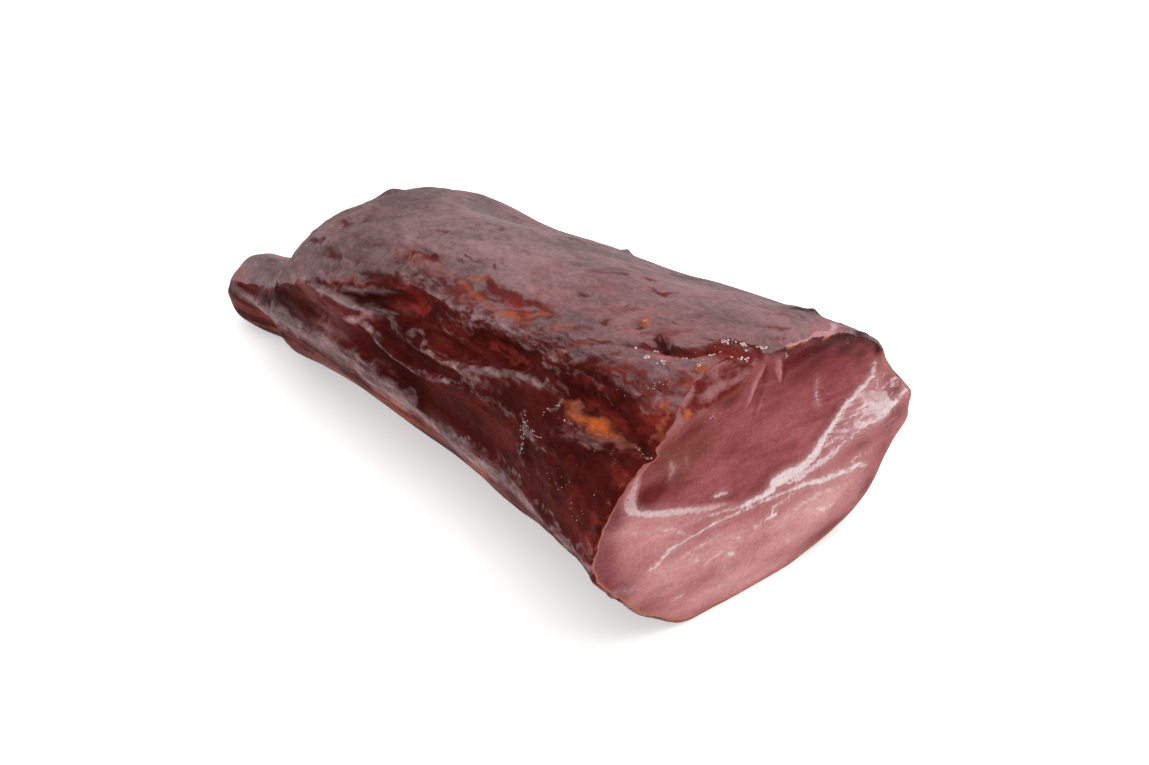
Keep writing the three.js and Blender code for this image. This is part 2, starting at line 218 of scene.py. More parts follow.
WORN_BACK = 6.0                        # how far the rolled crust lies behind the plane of the cut
WORN_LENGTH = 16                       # how far along the skin that wear reaches
WORN_EDGE = 9                          # width over which it grows in at the edge of the rolled crust
WORN_RIGHT = 14                        # y where it ends at the right
WORN_FADE = 20                         # width over which it fades out there
LOW_WAVE = 0.35                        # height of the low waves all over the skin
FLAP_RISE = 2.4                        # width over which the edge of a flap rises
CORD_WAVER = 0.35                      # degrees by which the cords waver
FIBRE_HEIGHT = 0.25                    # height of the fibres on the left side
DIMPLE_HEIGHT = 0.12                   # height of the dimples, most of all on the top
CRUMB_HEIGHTS = (0.5, 0.3)             # heights of the coarse and the fine crumbs near the rim
TAIL_FADE = 40                         # run over which the relief grows in from the tip of the tail

# Where the crust has rolled over the cut: corners (y, z).
ROLLED_CRUST = [(-75, 66), (-63, 53), (-60.5, 51.4), (-57, 55), (-52, 58.6), (-47, 62.8), (-42, 66.2),
                (-36, 68.8), (-30, 70.2), (-24, 71), (-16, 71.6), (-9, 73), (-4, 75.6), (-0.6, 79.6),
                (5, 80.2), (10, 78.6), (20, 78.4), (28, 76.4), (36, 73), (44, 70), (50, 65.6), (51.6, 62),
                (54, 62), (60, 72), (40, 100), (-40, 100)]

# Where the film hangs over the upper right edge of the cut: corners (y, z).
PEELED_FILM = [(9, 81.6), (12, 80.4), (20.4, 79.8), (28.2, 77.9), (33.5, 77.2), (40.7, 75.4), (45.7, 73.6),
               (60, 84), (30, 95), (8, 90)]

SLANT = (0.87, -0.80)                  # how far y and z of the seams shift for each millimetre of relief
RIDGE_HEIGHT = 1.5                     # height of the pale ridges
SEAM_HEIGHT = 0.3                      # height of the seams
GROOVE_DEPTH = 0.8                     # depth of the groove just inside the upper muscle
MARBLE_WAVE = 0.35                     # height of the short waves of the marbled corner
RIM_FADE = 2.5                         # distance from the rim over which this fine relief grows in

# Relief of the cut: y, z, height along +X, half width, half height.
CUT_RELIEF = [
    (2, 20, 5, 52, 17),           # lower muscle swells
    (-8, 58, -4.5, 36, 15),       # upper muscle sinks
    (30, 68, -4.5, 17, 10),       # dark corner sinks more
    (55, 42, 2, 12, 8),           # marbled corner swells
    (3, 71, -2, 4, 8),            # groove between the pale ridges
]


def smooth(value):
    """0 below 0, 1 above 1, and between them the cubic that starts and ends level."""
    share = np.clip(value, 0.0, 1.0)
    return share * share * (3 - 2 * share)


def bell(value):
    """1 at 0 and falling off to both sides as exp(-value squared)."""
    return np.exp(-np.square(value))


def turn(a, b):
    """The angle from b to a in degrees, between -180 and 180."""
    return (a - b + 540.0) % 360.0 - 180.0


def ring_measures(run):
    """The columns of RINGS at each run, led through the rows by cubics whose slopes are those of the
    straight lines between the neighbours on both sides."""
    runs = RINGS[:, 0]
    k = np.clip(np.searchsorted(runs, run, side="right") - 1, 0, len(runs) - 2)
    before, after = np.maximum(k - 1, 0), np.minimum(k + 2, len(runs) - 1)
    gap = (runs[k + 1] - runs[k])[:, None]
    f = (run - runs[k])[:, None] / gap
    slope_a = (RINGS[k + 1] - RINGS[before]) / (runs[k + 1] - runs[before])[:, None] * gap
    slope_b = (RINGS[after] - RINGS[k]) / (runs[after] - runs[k])[:, None] * gap
    return ((2 * f**3 - 3 * f**2 + 1) * RINGS[k] + (f**3 - 2 * f**2 + f) * slope_a
            + (3 * f**2 - 2 * f**3) * RINGS[k + 1] + (f**3 - f**2) * slope_b)


def nearest(u, v, path, wrap=True):
    """For each place (u, v), its distance to a path of straight stretches, the side it lies on, and the
    path's further columns in proportion at the nearest place. Where wrap is true, v is an angle in degrees,
    and the side is above zero at the left of a path of (x, angle), seen from outside."""
    rows = np.array(path, float)
    best = np.full(np.broadcast(u, v).shape, np.inf)
    side = np.zeros_like(best)
    values = np.zeros(best.shape + (rows.shape[1] - 2,))
    for start, stop in zip(rows, rows[1:]):
        eu, ev = stop[:2] - start[:2]
        pu = u - start[0]
        pv = turn(v, start[1]) if wrap else v - start[1]
        share = np.clip((pu * eu + pv * ev) / (eu * eu + ev * ev), 0, 1)
        distance = np.hypot(pu - share * eu, pv - share * ev)
        closer = distance < best
        best = np.where(closer, distance, best)
        side = np.where(closer, np.sign(ev * pu - eu * pv), side)
        carried = start[2:] + share[..., None] * (stop[2:] - start[2:])
        values = np.where(closer[..., None], carried, values)
    return best, side, values


def within(u, v, corners):
    """Depth inside a closed outline of corners (u, v), below zero outside. A place is inside where a line
    from it to the left crosses the outline an odd number of times."""
    rows = np.array(corners, float)
    distance, _, _ = nearest(u, v, np.concatenate([rows, rows[:1]]), wrap=False)
    odd = np.zeros(distance.shape, bool)
    for start, stop in zip(rows, np.roll(rows, -1, axis=0)):
        level = (start[1] > v) != (stop[1] > v)
        rise = stop[1] - start[1] if stop[1] != start[1] else 1.0
        odd ^= level & (u > start[0] + (v - start[1]) / rise * (stop[0] - start[0]))
    return np.where(odd, distance, -distance)


def undulation(p, length, seed, waves=11):
    """A smooth field round 0, mostly within 1.5: sines of plane waves about that long, in directions spread
    over a sphere by the golden angle, each with its own phase, summed and divided by the root of their
    number."""
    k = np.arange(waves)
    height = 1 - 2 * (k + 0.5) / waves
    around = k * math.pi * (3 - math.sqrt(5)) + seed
    ring = np.sqrt(1 - height**2)
    directions = np.stack([ring * np.cos(around), ring * np.sin(around), height])
    pace = 2 * math.pi / length * (1 + 0.35 * np.sin(5.3 * k + seed))
    return np.sin(p @ directions * pace + 12.9 * (k + 1) * (seed + 1)).sum(-1) / math.sqrt(waves)


def skin_relief(x, angle, depth, cords, broken):
    """Height of the skin over its plain rings: swellings as bells, folds as flat-bottomed grooves, flaps as
    one-sided steps, cords as narrow ridges whose height and place waver by broken, and pits as small bells,
    on low waves. Also gives how deep each place lies in a fold and how high on a cord."""
    height = np.zeros(np.broadcast(x, angle).shape)
    for at_x, at_angle, size, length, width in SWELLINGS:
        height += size * bell((x - at_x) / length) * bell(turn(angle, at_angle) / width)
    height += LOW_WAVE * np.sin(x / 9.5 + 2.1 * np.sin(np.radians(3 * angle)))
    height += LOW_WAVE * np.sin(np.radians(7 * angle) + x / 17)
    sunk = np.zeros_like(height)
    for path in FOLDS.values():
        distance, _, value = nearest(x, angle, path)
        sunk = sunk + value[..., 1] * bell((distance / value[..., 0]) ** 2)
    for reach, path in FLAPS.values():
        distance, side, value = nearest(x, angle, path)
        inside = np.maximum(side * distance, 0)
        height += depth * value[..., 0] * smooth(0.5 + side * distance / FLAP_RISE) * bell(inside / reach)
    crest = np.zeros_like(height)
    for path in CORDS:
        distance, _, value = nearest(x, angle + CORD_WAVER * broken, path)
        crest = np.maximum(crest, value[..., 1] * bell(1.15 * distance / value[..., 0]))
    crest = crest * (0.82 + 0.2 * broken * smooth((x + 90) / 60))
    for at_x, at_angle, length, width, size in PITS:
        pit = size * bell((x - at_x) / length) * bell(turn(angle, at_angle) / width)
        height += pit
        sunk = sunk + np.minimum(pit, 0)
    return height + depth * sunk + cords * crest, -sunk, crest


def worn_back(y, z):
    """How far the meat is worn back from the plane of the cut: more and more towards the inside of the rolled
    crust, and fading out towards the right."""
    inside = smooth((within(y, z, ROLLED_CRUST) + 1) / WORN_EDGE)
    return WORN_BACK * inside * smooth((WORN_RIGHT - y) / WORN_FADE)


def rim_crumbs(points, x, angle):
    """How far the crumbly crust at the upper right of the cut stands proud: short waves, only near the rim
    and round 60 degrees."""
    where = smooth((x - 90) / 8) * bell(turn(angle, 60) / 24)
    coarse, fine = CRUMB_HEIGHTS
    return where * (coarse * undulation(points, 6.5, 31) + fine * undulation(points, 3.2, 37))


def skin_grid(run, angle, depth, cords, grain):
    """The skin over (run, angle): each ring is an ellipse of four quarters round its middle, plus the relief
    along the same ray, less a quarter-round towards the cut, cut flat at the table and worn back at the
    rolled crust. Grain adds short waves: fibres drawn out along the length and low dimples. Near the rim
    there are crumbs. Gives points, x, angle, sunk and crest."""
    measures = ring_measures(run)
    x, middle_y, middle_z, left, right, up, down = (measures[:, k:k + 1] for k in range(1, 8))
    x = np.minimum(x, CUT_X)
    cos, sin = np.cos(np.radians(angle))[None, :], np.sin(np.radians(angle))[None, :]
    across = np.where(cos > 0, right, left)
    height = np.where(sin > 0, up, down)
    plain = across * height / np.maximum(np.hypot(height * cos, across * sin), 1e-9)
    ray = np.stack(np.broadcast_arrays(0 * cos, cos, sin), -1)
    middle = np.stack([x, middle_y, middle_z], -1)
    points = middle + plain[..., None] * ray
    broken = undulation(points * [0.45, 1, 1], 3.2, 13)
    relief, sunk, crest = skin_relief(x, angle[None, :], depth, cords, broken)
    drawn_out = points * [0.14, 1, 1]
    side = bell(turn(angle, 165) / 42)[None, :]
    top = bell(turn(angle, 85) / 55)[None, :]
    fibres = undulation(drawn_out, 4.2, 3) + 0.6 * undulation(drawn_out, 2.3, 5)
    dimples = undulation(points * [0.3, 1, 1], 9.0, 7) + 0.5 * undulation(points * [0.4, 1, 1], 4.6, 11)
    relief = relief + grain * (FIBRE_HEIGHT * fibres * (0.04 + side) * (1 - 0.8 * smooth(sunk / 1.5))
                               + DIMPLE_HEIGHT * dimples * (0.5 + top))
    relief = relief + rim_crumbs(points, x, angle[None, :])
    fade = np.clip(run / TAIL_FADE, 0, 1)[:, None]
    past = np.clip(EDGE_ROUND - (RUN_END - run), 0, EDGE_ROUND)[:, None]
    rounding = EDGE_ROUND - np.sqrt(EDGE_ROUND**2 - past**2)
    points = points + ((relief - rounding) * fade)[..., None] * ray
    points[..., 2] = np.maximum(points[..., 2], 0)
    wear = smooth((x - CUT_X + WORN_LENGTH) / WORN_LENGTH)
    points[..., 0] -= worn_back(points[..., 1], points[..., 2]) * wear
    return points, x + 0 * cos, angle[None, :] + 0 * x, sunk, crest


# Edge of the pale dried film that covers the top, as a path of (x, angle) with the film above it.
FILM_EDGE = [(-152, 152), (-140, 150), (-128, 143), (-118, 144), (-107, 150), (-100, 158), (-94, 164),
             (-86, 165), (-78, 161), (-70, 158), (-60, 156), (-50, 151.5), (-42, 146.5), (-33, 140),
             (-22, 137.4), (-8, 138.5), (6, 139), (18, 138), (30, 137.5), (42, 135.5), (52, 135.5),
             (62, 134), (72, 133), (84, 133), (93, 134), (104, 137)]
FILM_END = 345                         # angle where the film ends on the right side
FILM_FRAY = (7, 16)                    # width of its lower edge at the far and at the near end
UNDERSIDE = (176, FILM_END)            # angles between which the skin is the foot and the underside

# Painted shade round the far crown and the tail, where the skin faces away from the light: x, angle, half
# length, half width in degrees, share.
FAR_SHADE_SPOTS = [(-78, 86, 20, 34, 1), (-92, 154, 15, 16, 1), (-62, 140, 30, 16, 0.75), (-110, 112, 17, 42, 0.85)]

# The strokes that colour the skin are paths of (x, angle, half width, strength).

# Pale film and cords on the dark side, pale partly as painted sheen.
VEILS = [
    [(-92, 158, 3, 0.3), (-86, 160, 3, 0.55), (-80, 160.5, 3, 0.8), (-70, 161.5, 2.2, 0.95),
     (-60, 161, 2.2, 0.95), (-50, 160.6, 2, 0.9), (-43, 158.8, 1.4, 0.8), (-37, 157, 1.5, 0.75)],
    [(-100, 158, 3, 0.3), (-90, 161, 3, 0.5)],
    [(-58, 158.5, 1, 0.6), (-50, 154.4, 1.7, 0.9), (-42, 151, 1.8, 0.85), (-35, 147.6, 1.6, 0.75),
     (-29, 143.5, 1.4, 0.6), (-24, 140.4, 1.3, 0.6)],
    [(-52, 168.6, 1.3, 0.6), (-46, 166.6, 1.8, 0.9), (-42, 163.5, 1.8, 0.9), (-39, 160, 1.6, 0.8),
     (-37, 157.6, 1.4, 0.7)],
    [(-41, 165.5, 1.4, 0.6), (-36, 165, 1.7, 0.85), (-31, 167.4, 1.4, 0.7), (-25, 169.6, 1.3, 0.75),
     (-18, 170.6, 1.2, 0.8), (-10, 170.2, 1.1, 0.7), (-5, 168.6, 1, 0.6), (4, 166.4, 0.8, 0.5)],
    [(-37, 157, 1.5, 0.7), (-30, 156.6, 1.5, 0.8), (-25, 157.4, 1.6, 0.85), (-21.5, 160, 1.4, 0.75),
     (-14, 161.4, 1, 0.65), (-6, 159.8, 1, 0.7)],
    [(-15.5, 158.6, 1, 0.6), (-14, 155.6, 1.2, 0.85), (-12, 154.4, 1.1, 0.8), (-10.4, 157, 0.9, 0.75),
     (-6, 159.7, 0.9, 0.75), (3, 160, 0.9, 0.7), (10, 159.2, 1, 0.7), (16, 157, 1.8, 0.8),
     (22, 155, 2.2, 0.85), (30, 151.8, 2.1, 0.8), (38, 149.4, 1.7, 0.75), (48, 147.8, 1.9, 0.7),
     (60, 146.5, 1.4, 0.35)],
    [(16, 161, 1.6, 0.4), (24, 158.6, 2.4, 0.5), (34, 157.2, 3, 0.5), (42, 156, 2, 0.35)],
    [(9, 165, 0.7, 0.6), (15, 163.4, 1, 0.75), (22, 162, 1.5, 0.65), (30, 161.6, 1.6, 0.6),
     (38, 160.8, 1.7, 0.7), (45, 161.4, 1.2, 0.6)],
    [(-13, 172.4, 0.7, 0.5), (-6, 170.6, 0.8, 0.7), (0, 168.8, 0.8, 0.75), (8, 166.2, 0.8, 0.7),
     (14, 164.2, 0.8, 0.6)],
    [(-60, 161, 3, 0.35), (-59, 170, 2.6, 0.45), (-60, 179, 3, 0.4)],
    [(-12, 141.4, 0.6, 0.5), (-4, 143, 0.6, 0.5), (6, 143.4, 0.6, 0.5)],
    [(-13, 145.6, 0.6, 0.35), (-5, 146.4, 0.6, 0.4), (2, 148.8, 0.7, 0.5), (10, 149.4, 0.6, 0.4)],
    [(0, 145.4, 0.5, 0.5), (8, 144.8, 0.6, 0.5), (11, 142.6, 0.6, 0.4)],
    [(2, 149.8, 0.5, 0.4), (10, 147.6, 0.5, 0.4)],
    [(2, 182, 0.6, 0.25), (9, 178, 0.6, 0.3), (14, 173.6, 0.7, 0.3), (20, 170, 0.6, 0.2)],
    [(36, 179, 0.8, 0.4), (44, 177.4, 1, 0.5), (51, 175.4, 1, 0.45), (56, 174.4, 0.7, 0.4),
     (60, 176.6, 0.6, 0.5)],
    [(60, 138.6, 0.5, 0.4), (66, 136, 0.7, 0.6), (73, 134.4, 0.8, 0.7), (80, 135.4, 0.7, 0.5),
     (88, 138.6, 0.9, 0.55), (94, 139, 0.8, 0.4)],
    [(60, 140.6, 0.5, 0.5), (64, 142, 0.5, 0.6), (72, 141.2, 0.5, 0.65), (79, 141.8, 0.5, 0.65),
     (81, 144, 0.5, 0.5), (85, 144.2, 0.5, 0.5)],
    [(44, 140, 0.5, 0.35), (50, 142.6, 0.6, 0.5), (56, 144.4, 0.6, 0.6), (64, 145.4, 0.5, 0.5)],
    [(47, 147, 0.5, 0.3), (54, 146.6, 0.5, 0.5), (61, 147.4, 0.5, 0.6)],
    [(60, 139, 0.5, 0.4), (60.4, 146, 0.5, 0.5), (60.6, 150.4, 0.8, 0.8), (58, 153.4, 0.7, 0.75),
     (56.6, 156, 0.6, 0.5)],
    [(60, 158, 1, 0.35), (68, 156.6, 2, 0.5), (76, 155, 2.2, 0.6), (84, 154.4, 1.8, 0.6),
     (93, 155.2, 1, 0.35)],
    [(68, 153.4, 0.6, 0.6), (74, 153, 0.5, 0.5), (82, 152.6, 0.5, 0.4)],
    [(46, 156, 1, 0.4), (48.6, 157.6, 1.2, 0.8), (47.5, 160, 1, 0.55), (50, 161.6, 1, 0.8),
     (52, 163.4, 1.1, 1), (58, 164.2, 0.7, 0.9), (66, 163.4, 0.45, 0.7), (76, 162.8, 0.3, 0.4)],
    [(53, 166, 0.8, 0.7), (52.4, 168.5, 0.7, 0.75), (49.6, 170.4, 0.8, 0.6), (52, 171, 0.8, 0.7),
     (54, 172.4, 0.8, 0.7), (57, 174, 0.6, 0.4), (59.6, 176, 0.8, 0.7)],
    [(46, 166, 2.5, 0.3), (50, 171, 3, 0.35)],
    [(64, 160.4, 0.4, 0.4), (74, 160, 0.4, 0.35), (90, 159.6, 0.4, 0.2)],
    [(88, 166, 0.4, 0.3), (94, 165.6, 0.5, 0.5), (99, 165, 0.6, 0.6)],
    [(70, 172, 2, 0.14), (84, 174, 2.4, 0.16), (92, 177, 1.6, 0.3), (99, 178, 1, 0.5)],
    # Strip along the foot of the far half.
    [(-112, 182, 7, 0.8), (-100, 181, 8.5, 0.95), (-92, 181.6, 8.6, 1), (-84, 184, 6.6, 1),
     (-76, 186, 5.4, 0.9), (-66, 185.4, 6.4, 0.95), (-54, 183.8, 7.6, 1.05), (-46, 184.4, 6.8, 0.95),
     (-34, 184.8, 7.4, 0.95), (-20, 185.6, 7.2, 1), (-10, 186.4, 6.4, 1), (-4, 190, 3.6, 0.9)],
    [(-90, 186.6, 1.6, 0.8), (-82, 185.6, 1.2, 0.8)],
    [(-56, 178.6, 1.6, 0.8), (-52, 179.6, 2.2, 0.95), (-50, 185, 1.6, 0.8)],
    [(-44, 177.6, 1.2, 0.75), (-36, 178.2, 1.4, 0.85), (-26, 180.2, 1.2, 0.75), (-16, 180.6, 1.4, 0.8),
     (-8, 180.6, 1.2, 0.8), (-5, 184.6, 1, 0.75)],
    # Strip along the foot of the near half.
    [(-6, 192, 4, 0.85), (3, 190, 4.6, 0.95), (12, 189, 5, 1), (24, 187.6, 5.4, 0.95), (36, 186.4, 5.2, 0.9),
     (46, 184.8, 5.2, 0.85), (58, 185, 4.4, 0.8), (70, 184.6, 3, 0.8), (84, 183.6, 2.2, 0.8),
     (100, 181.6, 1.6, 0.7)],
    [(2, 186.8, 0.9, 0.8), (10, 185.2, 1, 0.95), (18, 183.6, 1.1, 1), (26, 182, 0.9, 0.9),
     (33, 180.8, 0.7, 0.7)],
    [(34, 180.6, 0.6, 0.5), (42, 180.4, 0.7, 0.6), (50, 179, 0.8, 0.8), (55, 180.4, 0.8, 0.7),
     (57, 184, 0.7, 0.6)],
    [(60, 180.2, 0.6, 0.5), (70, 179.4, 0.8, 0.8), (80, 180.2, 0.6, 0.8), (90, 179.6, 0.6, 0.8),
     (100, 179.2, 0.5, 0.7)],
    [(58, 187, 0.7, 0.5), (66, 184.6, 0.7, 0.8), (74, 182.8, 0.7, 0.9), (79, 182, 0.6, 0.8)],
    [(82, 182.8, 0.5, 0.8), (90, 181.2, 0.5, 0.9), (99, 181, 0.4, 0.8)],
    [(90, 187, 2, 0.6), (97, 190, 3, 0.85), (100, 200, 4, 0.9), (100, 214, 4, 0.9), (98, 228, 4, 0.7)],
    # Film over the tail.
    [(-148, 160, 9, 0.6), (-136, 168, 11, 0.8), (-124, 171, 11, 0.9), (-112, 171, 9, 0.95),
     (-103, 173, 7, 1), (-96, 178, 6, 1), (-90, 184, 4.6, 1), (-82, 187, 3.4, 0.95), (-70, 186.4, 3, 0.8)],
    # Strands that cross the torn lower edge of the film.
    [(-60, 143, 1.6, 0.5), (-52, 140.4, 1.4, 0.7), (-44, 140.6, 1, 0.6)],
    [(-34, 138.6, 1.2, 0.7), (-26, 139.6, 1, 0.7), (-18, 139, 0.9, 0.6)],
    [(-20, 137.4, 1, 0.7), (-10, 138.4, 1, 0.8), (2, 140.6, 1, 0.8), (10, 142.4, 0.8, 0.6)],
    [(8, 138.4, 1.2, 0.8), (20, 137.2, 1.2, 0.85), (32, 137.6, 1.2, 0.85), (44, 139.6, 1, 0.8),
     (56, 143, 0.8, 0.7), (64, 145.6, 0.6, 0.4)],
    [(30, 134.6, 1.4, 0.7), (42, 136.4, 1.3, 0.85), (54, 138.8, 1, 0.8), (64, 138, 0.8, 0.6),
     (74, 137.2, 0.7, 0.5)],
    [(46, 134.4, 1.2, 0.7), (56, 133, 1.2, 0.75), (64, 129.4, 1.1, 0.75), (74, 125.4, 1.2, 0.8),
     (84, 124.2, 1.2, 0.8), (94, 125.2, 1.2, 0.6)],
    [(66, 134.6, 0.7, 0.5), (76, 133.2, 0.8, 0.7), (86, 132.6, 1, 0.7), (94, 133.4, 1, 0.5)],
    [(-38, 133, 2, 0.6), (-26, 134, 2, 0.8), (-14, 136, 1.6, 0.7)],
    [(58, 138, 2, 0.35), (70, 136, 3, 0.4), (84, 135, 3, 0.4), (96, 138, 3, 0.35)],
    [(38, 146.8, 0.8, 0.5), (48, 146, 0.8, 0.7), (58, 146.8, 0.6, 0.6), (64, 148, 0.5, 0.3)],
]

